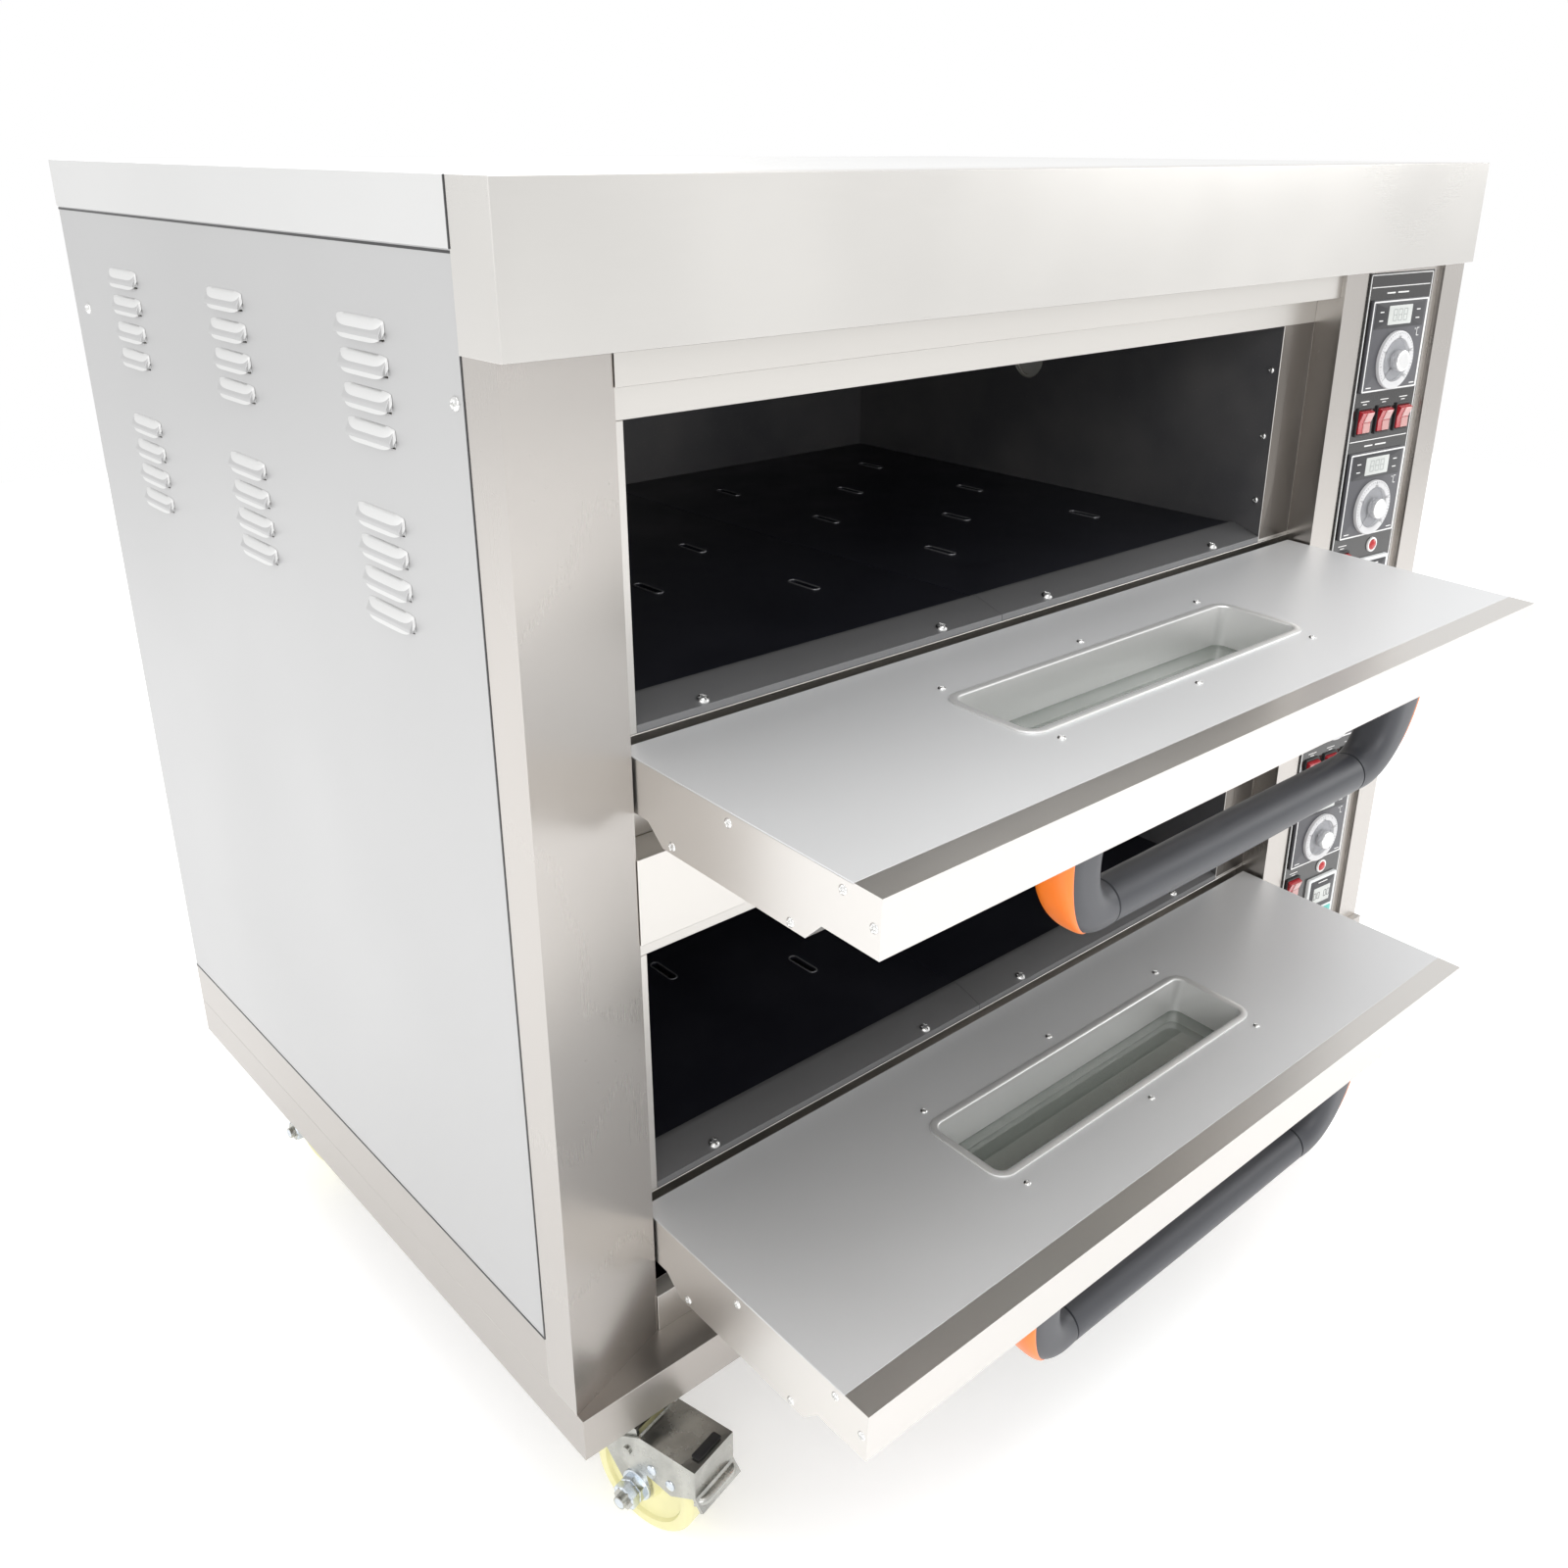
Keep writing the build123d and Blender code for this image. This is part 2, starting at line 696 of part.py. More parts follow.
seam_centre = (chamber_left + chamber_right) / 2
plate_front = jamb_front + gap + flashing_depth + sheet
slot_offsets = [(-1, 0), (-1, 1), (-1, 2), (1, 0), (1, 1), (1, 2), (0, 0.5), (0, 1.5)]
slot_pitch = (chamber_back - gap - plate_front - slot_front_inset - slot_back_inset) / 2
with BuildPart() as hearth_plates:
    for drop in decks.values():
        for near, far in (
            (chamber_left + gap, seam_centre - hearth_seam / 2),
            (seam_centre + hearth_seam / 2, chamber_right - gap),
        ):
            level = hearth_level - drop - hearth_thickness
            block((near, far), (plate_front, chamber_back - gap), (level, level + hearth_thickness))
            plate_middle = (near + far) / 2
            with BuildSketch(Plane.XY.offset(level)) as slots:
                for across, along in slot_offsets:
                    row = plate_front + slot_front_inset + along * slot_pitch
                    with Locations((plate_middle + across * slot_spread, row)):
                        SlotOverall(slot_length, slot_width, rotation=90)
            extrude(slots.sketch, amount=hearth_thickness, mode=Mode.SUBTRACT)
save(hearth_plates, "hearth_plates")

flashing_left = left + left_column_width + jamb_left + gap
flashing_right = post_left - jamb_right - gap
flashing_start = jamb_front + gap
flashing_screws = (
    flashing_left + flashing_screw_insets[0] - seam_centre,
    -flashing_screw_seams[0],
    flashing_screw_seams[1],
    flashing_right - flashing_screw_insets[1] - seam_centre,
)
with BuildPart() as hearth_flashings:
    for drop in decks.values():
        hearth = hearth_level - drop
        lip_top = hearth - flashing_fall
        for near, far in (
            (flashing_left, seam_centre - hearth_seam / 2),
            (seam_centre + hearth_seam / 2, flashing_right),
        ):
            folded(
                Plane((near, flashing_start, lip_top), x_dir=(0, 1, 0), z_dir=(1, 0, 0)),
                [
                    (0, gap - flashing_lip),
                    (0, 0),
                    (flashing_depth, flashing_fall + sheet),
                    (flashing_depth + 6.0, flashing_fall + sheet),
                ],
                far - near,
                -1,
            )
        pitch = Plane(
            (seam_centre, flashing_start, lip_top),
            x_dir=(1, 0, 0),
            z_dir=(0, -(flashing_fall + sheet), flashing_depth),
        )
        rod(pitch, [(place, flashing_screw_rise) for place in flashing_screws], 4.5, 2.2)
save(hearth_flashings, "hearth_flashings")

with BuildPart() as heating_elements:
    for drop in decks.values():
        for level in (top_element_level - drop, bottom_element_level - drop):
            for row in element_rows:
                with BuildLine() as hairpin:
                    FilletPolyline(
                        (chamber_right + 42.0, row - element_leg_spacing / 2, level),
                        (chamber_left + 30.0, row - element_leg_spacing / 2, level),
                        (chamber_left + 30.0, row + element_leg_spacing / 2, level),
                        (chamber_right + 42.0, row + element_leg_spacing / 2, level),
                        radius=30.0,
                    )
                with BuildSketch(Plane(hairpin.line @ 0, z_dir=hairpin.line % 0)) as tube:
                    Circle(element_radius)
                sweep(tube.sketch, path=hairpin.line)
            rod(wall_plane.offset(chamber_right - 40.0), [(probe_row, level)], probe_radius, 82.0)
save(heating_elements, "heating_elements")

partition_left = chamber_right + sheet + 50.0
with BuildPart() as insulation:
    span_x = (chamber_left - sheet + gap, chamber_right + sheet - gap)
    span_y = (riser_front + 2 * sheet, chamber_back + sheet - gap)
    lower_top = chamber_top - deck_pitch + sheet
    block(span_x, span_y, (chamber_top + sheet + gap, top - 45.0))
    block(span_x, span_y, (lower_top + gap, chamber_floor - sheet - gap))
    block(span_x, span_y, (base_top + sheet + gap, chamber_floor - deck_pitch - sheet - gap))
    heights = (base_top + sheet + gap, top - 45.0)
    full_y = (riser_front + 2 * sheet, rear - 2 * sheet - gap)
    block((left + 2 * sheet + 5.0, chamber_left - sheet - gap), full_y, heights)
    block((chamber_right + sheet + gap, partition_left - gap), full_y, heights)
    block(span_x, (chamber_back + sheet + gap, rear - 2 * sheet - gap), heights)
    for drop in decks.values():
        for place, radius in wall_penetrations(drop):
            rod(wall_plane.offset(chamber_right), [place], radius + gap, 51.5, Mode.SUBTRACT)
        lamp_centre = (lamp_place[0], lamp_place[1] - drop)
        rod(wall_plane.offset(chamber_right), [lamp_centre], lamp_radius + 2 * gap, 51.5, Mode.SUBTRACT)
save(insulation, "insulation")

with BuildPart() as chamber_lamps:
    for drop in decks.values():
        lamp_centre = (lamp_place[0], lamp_place[1] - drop)
        rod(wall_plane.offset(chamber_right), [lamp_centre], lamp_radius - gap, 45.0)
        rod(wall_plane.offset(chamber_right), [lamp_centre], lamp_radius - 4.0, 40.0, Mode.SUBTRACT)
        rod(wall_plane.offset(chamber_right + 2.0), [lamp_centre], lamp_radius - 4.0, 4.0)
        rod(wall_plane.offset(chamber_right + 12.0), [lamp_centre], 11.0, 28.0)
save(chamber_lamps, "chamber_lamps")

terminal_block_z = base_top + 150.0
gland_flange = 8.0
with BuildPart() as electrical_parts:
    block(
        (partition_left, partition_left + sheet),
        (riser_front + 5.0, rear - 2 * sheet - gap),
        (base_top + sheet, top - 45.0),
    )
    for drop in decks.values():
        for place, radius in wall_penetrations(drop):
            rod(wall_plane.offset(partition_left), [place], radius + 1.0, sheet, Mode.SUBTRACT)
    for level in range(4):
        low = base_top + 260.0 + level * 130.0
        for reach, inset, margin in ((76.0, 0.0, 0.0), (90.0, 5.0, 20.0)):
            block(
                (partition_left + sheet, partition_left + reach),
                (rear - 320.0 + inset, rear - 275.0 - inset),
                (low + margin, low + 80.0 - margin),
            )
    block(
        (partition_left + sheet, partition_left + 36.0),
        (rear - 250.0, rear - 110.0),
        (terminal_block_z, terminal_block_z + 45.0),
    )
    gland_centre = [(-gland_place[0], gland_place[1])]
    rod(rear_outside, gland_centre, gland_radius + gland_wall, gland_flange)
    rod(rear_outside, gland_centre, gland_radius - gap / 2, -gland_reach)
    rod(rear_outside, gland_centre, gland_radius + gland_wall / 3, gland_reach)
    rod(rear_outside.offset(gland_reach), gland_centre, cable_bore, -2 * gland_reach, Mode.SUBTRACT)
save(electrical_parts, "electrical_parts")

# ---- doors ---------------------------------------------------------------------------------------------
door_profile = [
    (0, 0),
    (door_length, 0),
    (door_length, -door_end_thickness),
    (end_step, -door_end_thickness),
    (raised_end, -door_thickness),
    (raised_start, -door_thickness),
    (hinge_step, -door_hinge_thickness),
    (0, -door_hinge_thickness),
]
outwards = (0, -cos(droop), -sin(droop))
inner_normal = (0, -sin(droop), cos(droop))
window_place = (door_width / 2, -window_centre)
well_length, well_height = window_length - 2 * window_rim, window_height - 2 * window_rim
well_corner = window_corner - window_rim
handle_left = (door_width - handle_span) / 2
window_screws = [
    (door_width / 2 + across * 179.0, -window_centre + along * (window_height / 2 + 14.0))
    for across in (-1, 0, 1)
    for along in (-1, 1)
]
side_screws = [
    (raised_start + 11.0, -55.0),
    (raised_end - 14.5, -56.0),
    (window_centre - 1.0, -9.0),
    (door_length - 34.3, -9.0),
    (door_length - 5.8, -23.0),
]
pin_length = 25.0

for deck, drop in decks.items():
    hinge_edge = (
        door_left,
        front + hinge_edge_setback,
        hinge_height - drop + hinge_inset * sin(droop) + hinge_depth * cos(droop),
    )
    end_face = Plane(hinge_edge, x_dir=outwards, z_dir=(-1, 0, 0))
    inner_face = Plane(hinge_edge, x_dir=(1, 0, 0), z_dir=inner_normal)

    def well(plane, grow, length, mode):
        """Add or cut the rounded shaft of the window, grown all round."""
        with BuildSketch(plane) as shaft:
            with Locations(window_place):
                RectangleRounded(well_length + 2 * grow, well_height + 2 * grow, well_corner + grow)
        extrude(shaft.sketch, amount=length, mode=mode)

    with BuildPart() as skin:
        with BuildSketch(end_face) as section:
            with BuildLine():
                Polyline(*door_profile, close=True)
            make_face()
        extrude(section.sketch, amount=-door_width)
        with BuildSketch(end_face.offset(-sheet)) as cavity:
            with BuildLine():
                Polyline(*door_profile, close=True)
            make_face()
            offset(amount=-sheet, kind=Kind.INTERSECTION)
        extrude(cavity.sketch, amount=2 * sheet - door_width, mode=Mode.SUBTRACT)
        with BuildSketch(inner_face) as mouth:
            with Locations((door_width / 2, -(door_length - end_strip) / 2)):
                Rectangle(door_width, door_length - end_strip)
        extrude(mouth.sketch, amount=-sheet, mode=Mode.SUBTRACT)
        well(inner_face.offset(-door_thickness), sheet + gap, 2 * sheet, Mode.SUBTRACT)
        pin_axis = [(hinge_inset, -hinge_depth)]
        rod(end_face, pin_axis, pin_radius + running_fit, -sheet, Mode.SUBTRACT)
        rod(end_face.offset(-door_width), pin_axis, pin_radius + running_fit, sheet, Mode.SUBTRACT)
    save(skin, f"{deck}_door_skin")

    with BuildPart() as inner_panel:
        with BuildSketch(inner_face) as panel:
            with Locations((door_width / 2, -(door_length - end_strip) / 2)):
                Rectangle(door_width, door_length - end_strip)
        extrude(panel.sketch, amount=-sheet)
        well(inner_face, sheet + gap, -sheet, Mode.SUBTRACT)
    save(inner_panel, f"{deck}_door_inner_panel")

    with BuildPart() as window_trim:
        well(inner_face, sheet, -door_thickness, Mode.ADD)
        well(inner_face, window_rim, 1.6, Mode.ADD)
        well(inner_face.offset(-door_thickness), window_rim, -1.6, Mode.ADD)
        well(inner_face.offset(1.6), 0, -door_thickness - 3.2, Mode.SUBTRACT)
    save(window_trim, f"{deck}_door_window_trim")

    with BuildPart() as glass:
        for depth in (38.0, 52.0):
            well(inner_face.offset(-depth), -gap, -glass_thickness, Mode.ADD)
    save(glass, f"{deck}_door_glass")

    with BuildPart() as filling:
        with BuildSketch(end_face.offset(-sheet - gap)) as core:
            with BuildLine():
                Polyline(*door_profile, close=True)
            make_face()
            offset(amount=-sheet - gap, kind=Kind.INTERSECTION)
        extrude(core.sketch, amount=2 * (sheet + gap) - door_width)
        with BuildSketch(inner_face) as hinge_room:
            with Locations((door_width / 2, -(hinge_inset + pin_radius + 2.0) / 2)):
                Rectangle(door_width, hinge_inset + pin_radius + 2.0)
        extrude(hinge_room.sketch, amount=-door_thickness, mode=Mode.SUBTRACT)
        well(inner_face, sheet + gap, -door_thickness, Mode.SUBTRACT)
    save(filling, f"{deck}_door_insulation")

    with BuildPart() as fasteners:
        rod(end_face.offset(door_gap_left + sheet), pin_axis, pin_radius, -door_gap_left - sheet - pin_length)
        rod(
            end_face.offset(-door_width + pin_length),
            pin_axis,
            pin_radius,
            -door_gap_right - sheet - pin_length,
        )
        rod(inner_face, window_screws, 3.2, 1.6)
        rod(end_face, side_screws, 3.2, 1.4)
        rod(end_face.offset(-door_width), side_screws, 3.2, -1.4)
    save(fasteners, f"{deck}_door_fasteners")

    grip_axis = (handle_centre - grip_shift, -door_end_thickness - grip_stand)
    with BuildPart() as handle_ends:
        for start, cap_start in (
            (-handle_left - cap_thickness, -handle_left),
            (-door_width + handle_left + handle_end_width, -door_width + handle_left + cap_thickness),
        ):
            for begin, length in (
                (start, handle_end_width - cap_thickness),
                (cap_start, cap_thickness),
            ):
                with BuildSketch(end_face.offset(begin)) as bracket:
                    with Locations((handle_centre, -door_end_thickness - handle_base / 4)):
                        Rectangle(handle_base, handle_base / 2)
                    with Locations((handle_centre + 3.0, -door_end_thickness - grip_stand / 2)):
                        Rectangle(handle_base - 6.0, grip_stand / 2)
                    with Locations(grip_axis):
                        Circle(grip_radius + 1.5)
                    make_hull()
                extrude(bracket.sketch, amount=-length)
    save(handle_ends, f"{deck}_door_handle_ends")

    with BuildPart() as grip:
        rod(
            end_face.offset(-handle_left - handle_end_width),
            [grip_axis],
            grip_radius,
            -handle_span + 2 * handle_end_width,
        )
    save(grip, f"{deck}_door_handle_grip")

# ---- castors ---------------------------------------------------------------------------------
crown_top = base_bottom - castor_plate_z - gap
crown_bottom = crown_top - crown_thickness
fork_inside = wheel_width / 2 + fork_play
fork_outside = fork_inside + fork_sheet
cheek_back, cheek_front = -24.0, 38.0
cheek_round = 15.0
axle = (castor_trail, wheel_radius)
brake_reach = castor_trail + wheel_radius + brake_clear
brake_pin = (brake_pin_ahead, crown_bottom - brake_pin_drop)
hexagon_radius = 10.5
tyre_round, web_recess, rim_width, hub_radius = 5.0, 5.0, 12.0, 17.0

for corner, (centre_x, centre_y) in castor_places.items():
    yaw = radians(castor_yaws[corner])
    forward = (sin(yaw), -cos(yaw), 0)
    # roll plane: local x runs forward along the trail, local y up, its normal along the axle
    roll = Plane((centre_x, centre_y, 0), x_dir=forward, z_dir=(-cos(yaw), -sin(yaw), 0))

    with BuildPart() as fork:
        rod(Plane.XY.offset(crown_bottom), [(centre_x, centre_y)], crown_radius, crown_thickness)
        for side in (-1, 1):
            with BuildSketch(roll.offset(side * fork_inside)) as cheek:
                with Locations(((cheek_back + cheek_front) / 2, crown_bottom - fork_sheet)):
                    Rectangle(cheek_front - cheek_back, 2 * fork_sheet)
                with Locations(axle):
                    Circle(cheek_round)
                make_hull()
            extrude(cheek.sketch, amount=side * fork_sheet)
        with BuildSketch(roll.offset(-fork_inside)) as saddle:
            with Locations(((cheek_back + cheek_front) / 2, crown_bottom - fork_sheet / 2)):
                Rectangle(cheek_front - cheek_back, fork_sheet)
        extrude(saddle.sketch, amount=2 * fork_inside)
        rod(
            Plane.XY.offset(crown_top),
            [(centre_x, centre_y)],
            kingpin_radius + running_fit,
            -crown_thickness - fork_sheet,
            Mode.SUBTRACT,
        )
        rod(roll.offset(-fork_outside), [axle], axle_radius, 2 * fork_outside + 2 * axle_nut + axle_end)
        for start, length in ((fork_outside, 2 * axle_nut), (-fork_outside, -axle_head)):
            with BuildSketch(roll.offset(start)) as hexagon:
                with Locations(axle):
                    RegularPolygon(hexagon_radius, 6)
            extrude(hexagon.sketch, amount=length)
        if corner.startswith("front"):
            for side in (-1, 1):
                length = gap + 2 * brake_sheet
                rod(roll.offset(side * fork_outside), [brake_pin], brake_pin_radius, side * length)
    save(fork, f"{corner}_castor_fork")

    with BuildPart() as wheel:
        rod(roll.offset(-wheel_width / 2), [axle], wheel_radius, wheel_width)
        fillet(wheel.edges().filter_by(GeomType.CIRCLE), tyre_round)
        web = wheel_radius - rim_width
        for side in (-1, 1):
            rod(roll.offset(side * wheel_width / 2), [axle], web, -side * web_recess, Mode.SUBTRACT)
        rod(roll.offset(-fork_inside + gap), [axle], hub_radius, 2 * (fork_inside - gap))
        bore = axle_radius + running_fit
        rod(roll.offset(-fork_inside), [axle], bore, 2 * fork_inside, Mode.SUBTRACT)
    save(wheel, f"{corner}_castor_wheel")

    if corner.startswith("front"):
        cover_inside = fork_outside + gap
        cover_top = crown_bottom - fork_sheet - 1.0
        with BuildPart() as brake:
            with BuildSketch(roll.offset(-cover_inside - brake_sheet)) as cover:
                with BuildLine():
                    Polyline(
                        (brake_pin[0] - 15.0, brake_pin[1] - 9.0),
                        (brake_pin[0] - 8.0, brake_pin[1] + 11.0),
                        (cheek_front + 6.0, cover_top),
                        (brake_reach, cover_top),
                        (brake_reach, cover_top - 29.0),
                        (brake_reach + 8.0, cover_top - 40.0),
                        (brake_reach + 5.0, cover_top - 42.0),
                        (brake_reach - 3.0, cover_top - 31.0),
                        (brake_reach - 27.0, cover_top - 44.0),
                        (brake_reach - 57.0, cover_top - 37.0),
                        (brake_pin[0] - 5.0, cover_top - 38.0),
                        close=True,
                    )
                make_face()
            extrude(cover.sketch, amount=2 * (cover_inside + brake_sheet))
            with BuildSketch(roll.offset(-cover_inside)) as room:
                with BuildLine():
                    Polyline(
                        (cheek_back, 0),
                        (cheek_back, cover_top - brake_sheet),
                        (brake_reach - brake_sheet, cover_top - brake_sheet),
                        (brake_reach - brake_sheet, cover_top - 32.0),
                        (brake_reach - 4.0, 0),
                        close=True,
                    )
                make_face()
            extrude(room.sketch, amount=2 * cover_inside, mode=Mode.SUBTRACT)
            pin_hole = brake_pin_radius + running_fit
            width = 2 * (cover_inside + brake_sheet)
            rod(roll.offset(-width / 2), [brake_pin], pin_hole, width, Mode.SUBTRACT)
        save(brake, f"{corner}_castor_brake")
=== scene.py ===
"""The finished look of a two-deck bakery oven, built around its fixed CAD frame.

Each sub-assembly is a class that holds its sizes in metres, builds its meshes and dresses them.
"""
import json
import logging
from dataclasses import dataclass
from enum import Enum
from math import cos, pi, radians, sin
from typing import Iterable, Sequence

import bmesh
import bpy
import numpy as np
from mathutils import Matrix, Vector


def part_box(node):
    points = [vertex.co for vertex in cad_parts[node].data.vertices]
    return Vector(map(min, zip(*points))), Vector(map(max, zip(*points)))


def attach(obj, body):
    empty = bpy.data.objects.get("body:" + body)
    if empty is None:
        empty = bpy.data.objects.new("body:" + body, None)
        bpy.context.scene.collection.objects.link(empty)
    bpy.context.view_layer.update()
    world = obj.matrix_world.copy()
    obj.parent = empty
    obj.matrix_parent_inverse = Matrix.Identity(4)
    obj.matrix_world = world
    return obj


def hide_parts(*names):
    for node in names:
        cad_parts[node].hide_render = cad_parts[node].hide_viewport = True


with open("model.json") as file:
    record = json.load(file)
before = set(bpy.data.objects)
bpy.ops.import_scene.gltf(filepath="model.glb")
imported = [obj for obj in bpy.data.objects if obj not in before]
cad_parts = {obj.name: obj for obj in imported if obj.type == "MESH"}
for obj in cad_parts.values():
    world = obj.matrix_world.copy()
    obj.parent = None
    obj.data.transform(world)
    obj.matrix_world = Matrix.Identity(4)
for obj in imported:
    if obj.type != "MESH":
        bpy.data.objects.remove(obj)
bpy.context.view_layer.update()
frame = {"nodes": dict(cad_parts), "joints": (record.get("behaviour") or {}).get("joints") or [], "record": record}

LOG = logging.getLogger("deck_oven")
MM = 0.001
RIGHT, BACK, UP = np.eye(3)                     # the directions of x, y and z
DECKS = ("upper", "lower")
FOLD_ANGLE = radians(25)                        # an edge sharper than this gets rounded
CRISP_ANGLE = radians(50)                       # an edge sharper than this keeps its own shading


# ---- places and meshes -----------------------------------------------------------------------


def unit(vector: Sequence[float]) -> np.ndarray:
    """Returns the vector at length one."""
    array = np.asarray(vector, float)
    return array / np.linalg.norm(array)


class Facing(Enum):
    """The direction of a place that is to become its new out."""

    ACROSS = "across"
    MINUS_ACROSS = "minus across"
    MINUS_OUT = "minus out"


@dataclass(frozen=True)
class Place:
    """A local frame: a point, and the directions that its u, v and w run in."""

    origin: np.ndarray
    across: np.ndarray
    up: np.ndarray
    out: np.ndarray

    def at(self, u: np.ndarray, v: np.ndarray, w: np.ndarray) -> np.ndarray:
        """Turns local lengths into points: origin + u across + v up + w out.

        Args:
            u: Lengths along across, of any shape.
            v: Lengths along up, of the same shape.
            w: Lengths along out, of the same shape.

        Returns:
            The points, with one more axis for x, y and z.
        """
        parts = [np.multiply.outer(np.asarray(length, float), direction)
                 for length, direction in ((u, self.across), (v, self.up), (w, self.out))]
        return self.origin + sum(parts)

    def moved(self, u: float = 0.0, v: float = 0.0, w: float = 0.0) -> "Place":
        """Returns the same directions at a point moved by u, v and w."""
        return Place(self.at(u, v, w), self.across, self.up, self.out)

    def facing(self, way: Facing) -> "Place":
        """Returns a place at the same point whose out is another of this one's directions.

        Args:
            way: Which direction becomes the new out.

        Returns:
            The turned place.
        """
        turned_to = {
            Facing.ACROSS: (self.up, self.out, self.across),
            Facing.MINUS_ACROSS: (self.out, self.up, -self.across),
            Facing.MINUS_OUT: (self.up, self.across, -self.out),
        }
        return Place(self.origin, *turned_to[way])


@dataclass(frozen=True)
class Shell:
    """A grid of points, and whether its rows and its columns join up."""

    points: np.ndarray
    wrap_rows: bool = True
    wrap_columns: bool = False


# An outline is the edge of circles wrapped in a tight band: rows of (u, v, radius).
Outline = Sequence[tuple[float, float, float]]


def rounded(width: float, height: float, corner: float,
            centre: tuple[float, float] = (0.0, 0.0)) -> Outline:
    """Returns the outline of a rectangle with rounded corners."""
    half_u, half_v = width / 2 - corner, height / 2 - corner
    return [(centre[0] + a * half_u, centre[1] + b * half_v, corner)
            for a, b in ((1, 1), (-1, 1), (-1, -1), (1, -1))]


def disc(radius: float, centre: tuple[float, float] = (0.0, 0.0)) -> Outline:
    """Returns the outline of one circle."""
    return [(centre[0], centre[1], radius)]


def hexagon(radius: float, softness: float = 0.6 * MM) -> Outline:
    """Returns the outline of a nut with slightly rounded corners."""
    return [((radius - softness) * cos(k * pi / 3), (radius - softness) * sin(k * pi / 3), softness)
            for k in range(6)]


def capped(points: np.ndarray) -> np.ndarray:
    """Closes both ends of a grid of rings, each with a point at the middle of its end ring."""
    first = np.broadcast_to(points[:, :1].mean(0, keepdims=True), points[:, :1].shape)
    last = np.broadcast_to(points[:, -1:].mean(0, keepdims=True), points[:, -1:].shape)
    return np.concatenate([first, points, last], axis=1)


def rings(place: Place, outline: Outline, profile: Sequence[tuple[float, float]], count: int = 64,
          closed: bool = False) -> Shell:
    """Carries a profile round an outline.

    For the direction n at angle t, the band's point is centre + (radius - inset) n of the circle
    that reaches furthest along n. Each profile row gives one ring at its inset and height.

    Args:
        place: Where the outline lies; heights run along its out.
        outline: The circles that the outline wraps.
        profile: Rows of (inset from the outline, height).
        count: Points round the outline.
        closed: Whether the last ring joins the first, as on a frame; otherwise both ends are capped.

    Returns:
        The grid of points.
    """
    circles = np.asarray(outline, float)
    angles = np.arange(count) * 2 * pi / count + 1e-4
    normals = np.stack([np.cos(angles), np.sin(angles)], -1)
    reach = normals @ circles[:, :2].T + circles[:, 2]
    chosen = circles[np.argmax(reach, axis=1)]
    inset, height = np.asarray(profile, float).T
    radius = chosen[:, 2][:, None] - inset[None, :]
    flat = chosen[:, None, :2] + radius[..., None] * normals[:, None, :]
    points = place.at(flat[..., 0], flat[..., 1], np.broadcast_to(height, radius.shape))
    return Shell(points if closed else capped(points), True, closed)


def softened(height: float, edge: float, start: float = 0.0, steps: int = 3) -> list[tuple[float, float]]:
    """Returns the profile of a plate whose outer face has a quarter-round edge.

    The round is inset = edge (1 - cos t), height = start + height - edge (1 - sin t).
    """
    turn = np.linspace(0, pi / 2, steps + 1)
    arc = [(edge * (1 - cos(t)), start + height - edge * (1 - sin(t))) for t in turn]
    return [(0.0, start)] + arc


def frame_profile(width: float, height: float, edge: float, start: float = 0.0) -> list[tuple[float, float]]:
    """Returns the closed profile of a raised border with both top edges eased."""
    top = start + height
    return [(0.0, start), (0.0, top - edge), (0.3 * edge, top - 0.3 * edge), (edge, top),
            (width - edge, top), (width - 0.3 * edge, top - 0.3 * edge), (width, top - edge),
            (width, start)]


def patch(place: Place, size: tuple[float, float, float], spot: tuple[float, float] = (0.0, 0.0),
          lift: tuple[float, float] = (0.2, 0.1), count: int = 16) -> Shell:
    """A flat raised patch with rounded corners and an eased top edge, all in millimetres.

    Args:
        place: The face that it stands on.
        size: Its width, height and corner radius.
        spot: Its middle on the face.
        lift: How high it stands, and how far its edge is eased.
        count: Points round it.

    Returns:
        The grid of points.
    """
    width, height, corner = (length * MM for length in size)
    outline = rounded(width, height, corner, (spot[0] * MM, spot[1] * MM))
    return rings(place, outline, softened(lift[0] * MM, lift[1] * MM), count)


def turned(place: Place, profile: Sequence[tuple[float, float]], count: int = 40,
           closed: bool = False) -> Shell:
    """Turns a profile of (radius, height) about the place's out, as on a lathe."""
    rows = [(-radius, height) for radius, height in profile]
    return rings(place, [(0.0, 0.0, 0.0)], rows, count, closed)


def screw_head(place: Place, radius: float, height: float, count: int = 32) -> Shell:
    """A domed head with a cross recess.

    The dome is height sqrt(1 - (r / R)^2), lowered where the point lies within a narrow cross.
    """
    angles = np.arange(count) * 2 * pi / count
    parts = np.array([1.0, 0.985, 0.93, 0.82, 0.68, 0.60, 0.45, 0.30, 0.12, 0.0])
    grid_angle, grid_part = np.meshgrid(angles, parts, indexing="ij")
    u, v = radius * grid_part * np.cos(grid_angle), radius * grid_part * np.sin(grid_angle)
    dome = height * np.sqrt(np.clip(1 - grid_part ** 2, 0, 1))
    arm, recess, cross_end = 0.17 * radius, 0.55 * height, 0.64
    cross = (np.minimum(np.abs(u), np.abs(v)) < arm) & (grid_part < cross_end)
    flat = np.zeros((count, 1))
    foot = np.concatenate([place.at(flat, flat, flat), place.at(u[:, :1], v[:, :1], flat)], axis=1)
    return Shell(np.concatenate([foot, place.at(u, v, dome - recess * cross)], axis=1))


